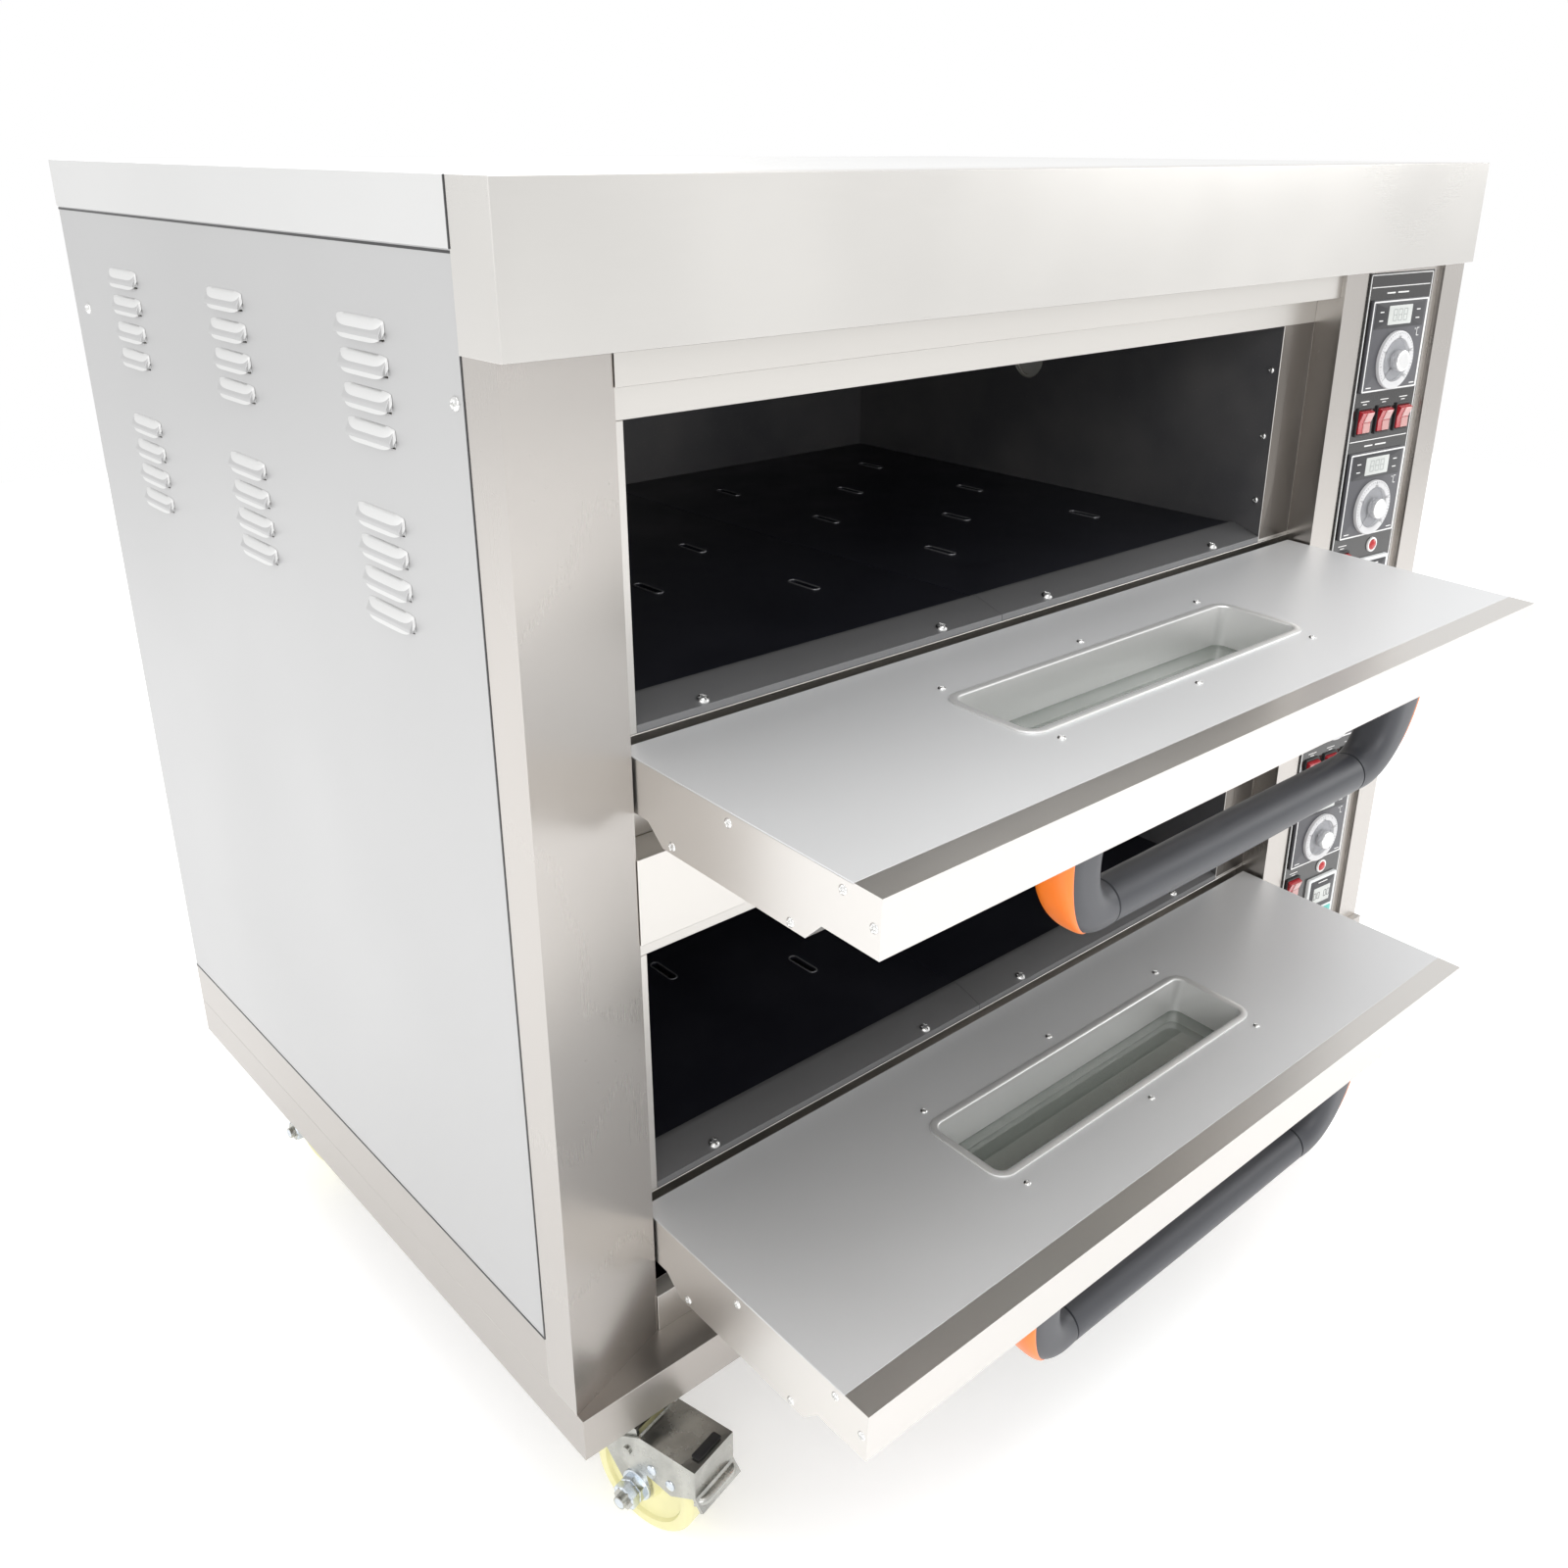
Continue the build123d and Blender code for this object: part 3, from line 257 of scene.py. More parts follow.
def tube(path: np.ndarray, radius: float, count: int = 16) -> Shell:
    """A round bar along a path: circles of the radius across the path's direction at each point."""
    steps = np.gradient(path, axis=0)
    steps /= np.linalg.norm(steps, axis=1, keepdims=True)
    side = np.cross(steps, np.array([0.31, 0.17, 0.93]))     # any direction that no path here follows
    side /= np.linalg.norm(side, axis=1, keepdims=True)
    other = np.cross(steps, side)
    angles = np.arange(count)[:, None, None] * 2 * pi / count
    ring = path[None] + radius * (np.cos(angles) * side[None] + np.sin(angles) * other[None])
    first = np.broadcast_to(path[:1], (count, 1, 3))
    last = np.broadcast_to(path[-1:], (count, 1, 3))
    return Shell(np.concatenate([first, ring, last], axis=1))


def shell_faces(shape: tuple[int, int], wrap_rows: bool, wrap_columns: bool) -> np.ndarray:
    """Returns the corner numbers of each four-sided face between neighbouring grid points."""
    rows, columns = shape
    number = np.arange(rows * columns).reshape(rows, columns)
    if wrap_rows:
        number = np.concatenate([number, number[:1]], axis=0)
    if wrap_columns:
        number = np.concatenate([number, number[:, :1]], axis=1)
    corners = (number[:-1, :-1], number[1:, :-1], number[1:, 1:], number[:-1, 1:])
    return np.stack([corner.ravel() for corner in corners], axis=1)


def make_piece(name: str, shells: Iterable[Shell], body: str, finish: bpy.types.Material,
               crease: float = 32.0) -> bpy.types.Object:
    """Joins grids into one mesh object that rides on a body.

    Args:
        name: The piece's name.
        shells: The grids that the mesh is made of.
        body: The CAD body that carries it.
        finish: Its material.
        crease: Edges sharper than this many degrees stay sharp.

    Returns:
        The new object.
    """
    points, faces, total = [], [], 0
    for shell in shells:
        rows, columns = shell.points.shape[:2]
        points.append(shell.points.reshape(-1, 3))
        faces.append(shell_faces((rows, columns), shell.wrap_rows, shell.wrap_columns) + total)
        total += rows * columns
    mesh = bpy.data.meshes.new(name)
    mesh.from_pydata(np.concatenate(points).tolist(), [], np.concatenate(faces).tolist())
    tidy_mesh(mesh, crease)
    return register(name, mesh, body, finish)


def tidy_mesh(mesh: bpy.types.Mesh, crease: float) -> None:
    """Merges doubled points, turns faces outwards and smooths all but the sharp edges."""
    work = bmesh.new()
    work.from_mesh(mesh)
    bmesh.ops.remove_doubles(work, verts=work.verts, dist=1e-6)
    bmesh.ops.dissolve_degenerate(work, edges=work.edges, dist=1e-7)
    bmesh.ops.recalc_face_normals(work, faces=work.faces)
    work.to_mesh(mesh)
    work.free()
    mesh.shade_smooth()
    mesh.set_sharp_from_angle(angle=radians(crease))


def register(name: str, mesh: bpy.types.Mesh, body: str, finish: bpy.types.Material) -> bpy.types.Object:
    """Puts a mesh into the scene on a body, with its material and slot."""
    piece = bpy.data.objects.new(name, mesh)
    bpy.context.scene.collection.objects.link(piece)
    mesh.materials.clear()
    mesh.materials.append(finish)
    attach(piece, body)
    LOG.info("%s on %s: %d faces", name, body, len(mesh.polygons))
    return piece


def body_of(node: str) -> str:
    """Returns the name of the body that carries a CAD node."""
    bodies = frame["record"]["behaviour"]["bodies"]
    return next(body for body, members in bodies.items() if node in members)


def joint(name: str) -> tuple[np.ndarray, np.ndarray]:
    """Returns a joint's position and the unit direction of its axis."""
    found = next(item for item in frame["joints"] if item["name"] == name)
    return np.array(found["pos_m"], float), unit(found["axis"])


def dress(node: str, finish: bpy.types.Material) -> None:
    """Gives a CAD node's own mesh a finish."""
    mesh = frame["nodes"][node].data
    mesh.materials.clear()
    mesh.materials.append(finish)


def eased(node: str, finish: bpy.types.Material, width: float = 0.5 * MM) -> None:
    """Makes a copy of a CAD node whose folds and edges are rounded, and shows it instead.

    Args:
        node: The CAD node.
        finish: The copy's material.
        width: How far the rounding reaches from each edge.
    """
    mesh = frame["nodes"][node].data.copy()
    mesh.name = f"{node}_shown"
    work = bmesh.new()
    work.from_mesh(mesh)
    bmesh.ops.remove_doubles(work, verts=work.verts, dist=2e-6)
    bmesh.ops.dissolve_limit(work, angle_limit=radians(0.5), verts=work.verts, edges=work.edges)
    sharp = [edge for edge in work.edges if edge.is_manifold and edge.calc_face_angle(0) > FOLD_ANGLE]
    bmesh.ops.bevel(work, geom=sharp, offset=width, offset_type="OFFSET", segments=2,
                    profile=0.5, affect="EDGES", clamp_overlap=True)
    work.to_mesh(mesh)
    work.free()
    mesh.shade_smooth()
    mesh.set_sharp_from_angle(angle=CRISP_ANGLE)
    piece = register(f"{node}_shown", mesh, body_of(node), finish)
    weigh = piece.modifiers.new("face_weights", "WEIGHTED_NORMAL")
    weigh.keep_sharp = True
    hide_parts(node)


# ---- shader maths ----------------------------------------------------------------------------


class Wire:
    """A value socket whose arithmetic adds Math nodes."""

    def __init__(self, shade: "Shade", socket: bpy.types.NodeSocket) -> None:
        """Wraps one output socket of a material's tree."""
        self.shade, self.socket = shade, socket

    def _math(self, operation: str, first: "Wire | float", second: "Wire | float" = 0.0,
              clamp: bool = False) -> "Wire":
        """Returns the wire of one Math node on two values."""
        return self.shade.node("ShaderNodeMath", {0: first, 1: second}, operation=operation,
                               use_clamp=clamp)

    def __add__(self, other: "Wire | float") -> "Wire":
        """Adds."""
        return self._math("ADD", self, other)

    __radd__ = __add__

    def __sub__(self, other: "Wire | float") -> "Wire":
        """Subtracts."""
        return self._math("SUBTRACT", self, other)

    def __rsub__(self, other: "Wire | float") -> "Wire":
        """Subtracts from a number."""
        return self._math("SUBTRACT", other, self)

    def __mul__(self, other: "Wire | float") -> "Wire":
        """Multiplies."""
        return self._math("MULTIPLY", self, other)

    __rmul__ = __mul__

    def __truediv__(self, other: "Wire | float") -> "Wire":
        """Divides."""
        return self._math("DIVIDE", self, other)

    def __pow__(self, other: "Wire | float") -> "Wire":
        """Raises to a power."""
        return self._math("POWER", self, other)

    def clamped(self) -> "Wire":
        """Keeps the value between 0 and 1."""
        return self._math("ADD", self, 0.0, clamp=True)

    def above(self, low: float, high: float) -> "Wire":
        """Rises from 0 at low to 1 at high, and is held outside them."""
        return ((self - low) * (1.0 / (high - low))).clamped()


Input = "Wire | float | tuple[float, ...] | bpy.types.NodeSocket"


class Shade:
    """A material under construction, around one Principled shader."""

    def __init__(self, name: str) -> None:
        """Starts an empty material with its shader and output."""
        self.material = bpy.data.materials.new(name)
        self.material.use_nodes = True
        self.tree = self.material.node_tree
        self.tree.nodes.clear()
        self.shader = self.tree.nodes.new("ShaderNodeBsdfPrincipled")
        output = self.tree.nodes.new("ShaderNodeOutputMaterial")
        self.tree.links.new(self.shader.outputs[0], output.inputs[0])

    def node(self, kind: str, inputs: dict, result: "int | str" = 0, **settings: object) -> Wire:
        """Adds a node.

        Args:
            kind: The node's type.
            inputs: What goes into its sockets, by name or number.
            result: Which output to return.
            **settings: Properties set before the inputs.

        Returns:
            The wire of the chosen output.
        """
        made = self.tree.nodes.new(kind)
        for key, value in settings.items():
            setattr(made, key, value)
        for key, value in inputs.items():
            self._feed(made.inputs[key], value)
        return Wire(self, made.outputs[result])

    def _feed(self, socket: bpy.types.NodeSocket, value: Input) -> None:
        """Links a wire to a socket, or sets the socket's own value."""
        if isinstance(value, Wire):
            self.tree.links.new(value.socket, socket)
        else:
            socket.default_value = value

    def coordinates(self, scale: tuple[float, float, float] = (1.0, 1.0, 1.0)) -> Wire:
        """Returns the piece's Object coordinates, stretched by a scale."""
        where = self.node("ShaderNodeTexCoord", {}, "Object")
        return self.node("ShaderNodeMapping", {"Vector": where, "Scale": scale})

    def noise(self, scale: float, detail: float = 2.0,
              stretch: tuple[float, float, float] = (1.0, 1.0, 1.0), roughness: float = 0.5) -> Wire:
        """Returns smooth noise between 0 and 1 with that many lumps to the metre."""
        return self.node("ShaderNodeTexNoise", {"Vector": self.coordinates(stretch), "Scale": scale,
                                                "Detail": detail, "Roughness": roughness}, "Fac")

    def mix(self, factor: "Wire | float", first: Input, second: Input) -> Wire:
        """Mixes two colours."""
        made = self.tree.nodes.new("ShaderNodeMix")
        made.data_type = "RGBA"
        for number, value in ((0, factor), (6, first), (7, second)):
            self._feed(made.inputs[number], value)
        return Wire(self, made.outputs[2])

    def bump(self, height: Wire, strength: float, distance: float) -> None:
        """Feeds a height in distance units to the shader's normal."""
        normal = self.node("ShaderNodeBump", {"Height": height, "Strength": strength, "Distance": distance})
        self.feed(Normal=normal)

    def feed(self, **values: Input) -> None:
        """Sets or links the shader's sockets, named with _ for each space."""
        for key, value in values.items():
            self._feed(self.shader.inputs[key.replace("_", " ")], value)


def rgb(red: float, green: float, blue: float) -> tuple[float, float, float, float]:
    """Returns a colour with full alpha."""
    return (red, green, blue, 1.0)


def shaded(colour: tuple[float, ...], by: float) -> tuple[float, float, float, float]:
    """Returns a colour made lighter or darker by a factor."""
    return rgb(*(min(1.0, channel * by) for channel in colour[:3]))


class Grain(Enum):
    """The direction that a sheet was brushed in, as a stretch of its fine noise."""

    ALONG_X = (0.02, 1.0, 1.0)
    ALONG_Y = (1.0, 0.02, 1.0)
    ALONG_Z = (1.0, 1.0, 0.02)
    NONE = (1.0, 1.0, 1.0)


@dataclass(frozen=True)
class BrushedSteel:
    """Bare sheet steel with fine brush lines, cloudy gloss and faint handling marks."""

    name: str
    colour: tuple[float, float, float]
    roughness: float = 0.30
    grain: Grain = Grain.ALONG_X
    lines: float = 0.10
    clouds: float = 0.10
    metallic: float = 1.0

    def build(self) -> bpy.types.Material:
        """Returns the finished material.

        Roughness is the base plus brush lines and slow clouds; colour follows the same lines a
        little, and a sparse speckle stands for scuffs.
        """
        shade = Shade(self.name)
        lines = shade.noise(900.0, 3.0, self.grain.value, 0.6)
        slow = shade.noise(3.5, 2.0)
        scuffs = shade.noise(140.0, 4.0, (1.0, 1.0, 1.0), 0.75).above(0.66, 0.78)
        tone = (lines - 0.5) * self.lines + (slow - 0.5) * self.clouds
        rough = (tone * 1.2 + self.roughness + scuffs * 0.05).clamped()
        dull, bright = shaded(self.colour, 0.90), shaded(self.colour, 1.08)
        colour = shade.mix((tone * 1.6 + 0.5).clamped(), dull, bright)
        shade.feed(Base_Color=colour, Metallic=self.metallic, Roughness=rough)
        shade.bump(lines, 0.10, 0.0002)
        return shade.material


@dataclass(frozen=True)
class BakedSteel:
    """Blue-black oven sheet with heat tint, fine scale and dull worn patches."""

    name: str
    colour: tuple[float, float, float]
    tint: tuple[float, float, float]
    roughness: float = 0.42

    def build(self) -> bpy.types.Material:
        """Returns the finished material."""
        shade = Shade(self.name)
        patches = shade.noise(9.0, 3.0).above(0.35, 0.7)
        scale = shade.noise(420.0, 4.0, (1.0, 1.0, 1.0), 0.7)
        colour = shade.mix(patches, rgb(*self.colour), rgb(*self.tint))
        flecked = shade.mix(scale.above(0.62, 0.74) * 0.35, colour, shaded(self.tint, 2.2))
        shade.feed(Base_Color=flecked, Metallic=0.55, Roughness=(patches * 0.12 + self.roughness))
        shade.bump(scale, 0.16, 0.0003)
        return shade.material


@dataclass(frozen=True)
class Moulding:
    """Moulded plastic with a fine spark texture and slight tone changes."""

    name: str
    colour: tuple[float, float, float]
    roughness: float = 0.45
    grit: float = 0.12
    coat: float = 0.0
    through: float = 0.0

    def build(self) -> bpy.types.Material:
        """Returns the finished material."""
        shade = Shade(self.name)
        fine = shade.noise(1500.0, 2.0)
        slow = shade.noise(22.0, 3.0)
        colour = shade.mix(slow.above(0.3, 0.7), shaded(self.colour, 0.93), shaded(self.colour, 1.05))
        shade.feed(Base_Color=colour, Roughness=((slow - 0.5) * 0.12 + self.roughness))
        shade.feed(Coat_Weight=self.coat, Coat_Roughness=0.08, Transmission_Weight=self.through)
        shade.bump(fine, self.grit, 0.0001)
        return shade.material


@dataclass(frozen=True)
class ClearPlate:
    """Glass or clear plastic with a faint greasy film that dulls it in patches."""

    name: str
    colour: tuple[float, float, float]
    alpha: float
    roughness: float = 0.06

    def build(self) -> bpy.types.Material:
        """Returns the finished material."""
        shade = Shade(self.name)
        film = shade.noise(30.0, 3.0).above(0.4, 0.75)
        shade.feed(Base_Color=rgb(*self.colour), Roughness=(film * 0.08 + self.roughness))
        shade.feed(Alpha=(film * 0.04 + self.alpha), IOR=1.5)
        return shade.material


@dataclass(frozen=True)
class Plated:
    """Zinc-plated pressed steel: pale, slightly blue, with soft blotches and small pits."""

    name: str
    colour: tuple[float, float, float]
    roughness: float = 0.30
    blotches: float = 0.22

    def build(self) -> bpy.types.Material:
        """Returns the finished material."""
        shade = Shade(self.name)
        slow = shade.noise(45.0, 4.0, (1.0, 1.0, 1.0), 0.6)
        pits = shade.noise(700.0, 2.0)
        blotch, plain = shaded(self.colour, 1.0 - self.blotches), shaded(self.colour, 1.05)
        colour = shade.mix(slow.above(0.35, 0.68), blotch, plain)
        shade.feed(Base_Color=colour, Metallic=0.95, Roughness=((slow - 0.5) * 0.30 + self.roughness))
        shade.bump(pits, 0.10, 0.0002)
        return shade.material


@dataclass(frozen=True)
class Wool:
    """Pressed mineral wool: matted fibres with lighter tufts."""

    name: str
    colour: tuple[float, float, float]

    def build(self) -> bpy.types.Material:
        """Returns the finished material."""
        shade = Shade(self.name)
        fibres = shade.noise(600.0, 5.0, (1.0, 0.25, 1.0), 0.8)
        colour = shade.mix(fibres, shaded(self.colour, 0.7), shaded(self.colour, 1.15))
        shade.feed(Base_Color=colour, Roughness=0.95)
        shade.bump(fibres, 0.6, 0.0015)
        return shade.material


# ---- finishes --------------------------------------------------------------------------------


def make_finishes() -> dict[str, bpy.types.Material]:
    """Builds every material once and returns them by name."""
    recipes = (
        BrushedSteel("hood_steel", (0.66, 0.645, 0.62), 0.30, Grain.ALONG_X, 0.06, 0.30),
        BrushedSteel("column_steel", (0.50, 0.475, 0.45), 0.27, Grain.ALONG_Z, 0.03, 0.30),
        BrushedSteel("base_steel", (0.46, 0.435, 0.41), 0.32, Grain.ALONG_X, 0.05, 0.14),
        BrushedSteel("grey_sheet", (0.50, 0.50, 0.50), 0.42, Grain.NONE, 0.06, 0.22, 0.70),
        BrushedSteel("door_steel", (0.68, 0.66, 0.635), 0.34, Grain.ALONG_X, 0.05, 0.12),
        BrushedSteel("door_panel", (0.70, 0.705, 0.71), 0.46, Grain.NONE, 0.04, 0.10, 0.45),
        BrushedSteel("surround_steel", (0.66, 0.64, 0.61), 0.32, Grain.ALONG_X, 0.05, 0.12),
        BrushedSteel("jamb_steel", (0.17, 0.155, 0.14), 0.34, Grain.NONE, 0.03, 0.20),
        BrushedSteel("flashing_steel", (0.27, 0.27, 0.275), 0.46, Grain.ALONG_X, 0.04, 0.10, 0.8),
        # a lighter copy of the side sheets' grey for the top cover and its flange: painted highlight
        BrushedSteel("top_cover_painted_highlight", (0.66, 0.66, 0.655), 0.40, Grain.NONE, 0.05, 0.14, 0.65),
        # the side sheets' grey made lighter on the louvres pressed from them: painted highlight
        BrushedSteel("louvre_sheet_painted_highlight", (0.66, 0.66, 0.655), 0.42, Grain.NONE, 0.05, 0.12, 0.55),
        BrushedSteel("bright_trim", (0.84, 0.84, 0.83), 0.32, Grain.NONE, 0.03, 0.06, 0.6),
        BrushedSteel("screw_steel", (0.74, 0.74, 0.73), 0.22, Grain.NONE, 0.05, 0.10),
        BrushedSteel("knob_metal", (0.86, 0.86, 0.86), 0.24, Grain.ALONG_Z, 0.14, 0.05),
        BakedSteel("chamber_sheet", (0.14, 0.14, 0.148), (0.19, 0.185, 0.185), 0.34),
        BakedSteel("hearth_sheet", (0.022, 0.023, 0.032), (0.034, 0.035, 0.046), 0.30),
        BakedSteel("slot_edge", (0.20, 0.20, 0.21), (0.30, 0.30, 0.31), 0.30),
        BakedSteel("element_tube", (0.05, 0.045, 0.045), (0.09, 0.07, 0.06), 0.5),
        Moulding("orange_shell", (0.92, 0.20, 0.012), 0.34, 0.08, 0.15),
        Moulding("charcoal_grip", (0.050, 0.052, 0.060), 0.42, 0.30),
        # black plastic of the instruments, also used as painted shadow in the sheet gaps and in the brake's slot
        Moulding("black_bezel_and_painted_shadow", (0.012, 0.012, 0.013), 0.38),
        Moulding("black_panel", (0.012, 0.011, 0.011), 0.16, 0.03, 0.5),
        Moulding("white_print", (0.86, 0.86, 0.85), 0.5, 0.02),
        Moulding("controller_grey", (0.085, 0.085, 0.095), 0.36, 0.06),
        Moulding("controller_dark", (0.03, 0.03, 0.034), 0.32, 0.05),
        Moulding("display_window", (0.58, 0.60, 0.58), 0.22, 0.02, 0.4),
        Moulding("display_digit", (0.36, 0.38, 0.37), 0.35, 0.02),
        Moulding("dial_white", (0.64, 0.64, 0.65), 0.30, 0.03, 0.3),
        Moulding("dial_mark", (0.14, 0.14, 0.15), 0.45, 0.02),
        Moulding("rocker_red", (0.50, 0.020, 0.030), 0.12, 0.02, 0.8, 0.15),
        # pale pink for the painted glare on the rockers' fronts
        Moulding("painted_rocker_glare", (0.78, 0.42, 0.40), 0.16, 0.02, 0.6, 0.3),
        Moulding("lamp_red", (0.62, 0.015, 0.02), 0.12, 0.02, 0.6, 0.3),
        Moulding("timer_white", (0.72, 0.74, 0.74), 0.34, 0.05),
        Moulding("timer_teal", (0.10, 0.52, 0.46), 0.36, 0.04),
        Moulding("wheel_nylon", (0.80, 0.76, 0.42), 0.40, 0.10, 0.1, 0.05),
        Moulding("switchgear", (0.30, 0.31, 0.32), 0.45),
        ClearPlate("door_glass", (0.20, 0.225, 0.20), 0.42),
        ClearPlate("dial_clear", (0.60, 0.61, 0.64), 0.35),
        ClearPlate("lamp_glass", (0.90, 0.90, 0.85), 0.30),
        Plated("castor_zinc", (0.50, 0.50, 0.47), 0.26),
        Plated("nut_zinc", (0.66, 0.71, 0.76), 0.22, 0.12),
        Wool("mineral_wool", (0.62, 0.55, 0.36)),
    )
    return {recipe.name: recipe.build() for recipe in recipes}


# ---- studio ----------------------------------------------------------------------------------


@dataclass
class Studio:
    """Floor, soft lights and the camera, placed from the hood's front left corner."""

    camera_offset: tuple[float, float, float] = (-0.42795, -0.74341, 0.01726)
    heading: float = radians(41.80)     # camera turned to the right of straight on
    tilt: float = radians(22.19)        # camera turned down
    roll: float = radians(0.22)
    lens: float = 32.78
    shift: tuple[float, float] = (-0.01453, -0.03754)
    floor_size: float = 9.0
    floor_points: int = 40
    aim: tuple[float, float, float] = (0.0, 0.0, 0.6)
    lights: tuple[tuple[str, tuple[float, float, float], float, float], ...] = (
        ("light_front_left", (-2.6, -3.4, 2.6), 2.2, 44.0),
        ("light_right", (3.2, -2.2, 1.8), 1.2, 16.0),
        ("light_over", (0.2, -0.6, 3.6), 2.6, 46.0),
        ("light_left_back", (-3.2, 1.6, 1.6), 1.8, 12.0),
        ("light_back", (1.2, 3.6, 2.4), 2.2, 20.0),
    )

    def build(self) -> None:
        """Makes everything that isn't part of the oven."""
        self._camera()
        self._floor()
        self._lights()
        self._world()

    def _camera(self) -> None:
        """Makes the camera, turned by heading, tilt and roll."""
        low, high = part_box("hood_front")
        data = bpy.data.cameras.new("camera")
        data.lens, data.sensor_width, data.clip_start = self.lens, 36.0, 0.05
        data.shift_x, data.shift_y = self.shift
        camera = bpy.data.objects.new("camera", data)
        turn = (Matrix.Rotation(-self.heading, 4, "Z") @ Matrix.Rotation(pi / 2 - self.tilt, 4, "X")
                @ Matrix.Rotation(self.roll, 4, "Z"))
        corner = Vector((low.x, low.y, high.z))
        camera.matrix_world = Matrix.Translation(corner + Vector(self.camera_offset)) @ turn
        bpy.context.scene.collection.objects.link(camera)
        bpy.context.scene.camera = camera

    def _floor(self) -> None:
        """Makes the floor: a flat even grid of points at height 0."""
        along = np.linspace(-self.floor_size / 2, self.floor_size / 2, self.floor_points)
        grid_x, grid_y = np.meshgrid(along, along, indexing="ij")
        points = np.stack([grid_x, grid_y, np.zeros_like(grid_x)], -1)
        mesh = bpy.data.meshes.new("floor")
        mesh.from_pydata(points.reshape(-1, 3).tolist(), [],
                         shell_faces(grid_x.shape, False, False).tolist())
        floor = bpy.data.objects.new("floor", mesh)
        bpy.context.scene.collection.objects.link(floor)
        shade = Shade("floor_paint")
        cloud = shade.noise(1.2, 2.0)
        paint = shade.mix(cloud, rgb(0.93, 0.93, 0.93), rgb(0.95, 0.95, 0.95))
        shade.feed(Base_Color=paint, Roughness=0.75)
        shade.feed(Emission_Color=rgb(1.0, 1.0, 1.0), Emission_Strength=0.28)
        mesh.materials.append(shade.material)

    def _lights(self) -> None:
        """Hangs large soft lights round the oven, each a square of its size and watts."""
        for name, spot, size, watts in self.lights:
            data = bpy.data.lights.new(name, "AREA")
            data.shape, data.size, data.energy = "SQUARE", size, watts
            light = bpy.data.objects.new(name, data)
            light.location = spot
            light.rotation_euler = (Vector(self.aim) - Vector(spot)).to_track_quat("-Z", "Y").to_euler()
            bpy.context.scene.collection.objects.link(light)

    def _world(self) -> None:
        """Fills the room with even white light."""
        world = bpy.data.worlds.new("room")
        world.use_nodes = True
        background = world.node_tree.nodes["Background"]
        background.inputs["Color"].default_value = rgb(1.0, 1.0, 1.0)
        background.inputs["Strength"].default_value = 1.0
        bpy.context.scene.world = world
        bpy.context.scene.view_settings.view_transform = "Standard"


# ---- lettering -------------------------------------------------------------------------------


# The lit bars of each character, and each bar's middle in quarters of the height and whether it lies flat.
FIGURES = {"0": "abcdef", "1": "bc", "2": "abged", "3": "abgcd", "4": "fgbc", "5": "afgcd",
           "6": "afgedc", "7": "abc", "8": "abcdefg", "9": "abcdfg", "C": "afed", "o": "abfg", " ": ""}
BARS = {"a": (0, 2, True), "b": (1, 1, False), "c": (1, -1, False), "d": (0, -2, True),
        "e": (-1, -1, False), "f": (-1, 1, False), "g": (0, 0, True)}


def lettered(text: str, place: Place, height: float, lift: float = 0.15 * MM) -> list[Shell]:
    """Makes flat generic characters, each drawn on a seven-bar figure.

    Args:
        text: Digits, spaces, C and o for the degree mark.
        place: Where the text's middle lies; it reads along across.
        height: Height of the characters.
        lift: How far each bar stands above its ground.

    Returns:
        One small closed slab for each bar.
    """
    half, stroke, advance = 0.25 * height, 0.09 * height, 0.78 * height
    soft = 0.45 * stroke
    slabs = []
    for index, character in enumerate(text):
        shift = (index - (len(text) - 1) / 2) * advance
        for name in FIGURES[character]:
            u, v, flat = BARS[name]
            width, tall = (2 * half, stroke) if flat else (stroke, 2 * half)
            outline = rounded(width, tall, soft, (shift + u * half, v * half))
            slabs.append(rings(place, outline, [(0.0, 0.0), (0.0, lift)], 12))
    return slabs


# ---- the oven --------------------------------------------------------------------------------


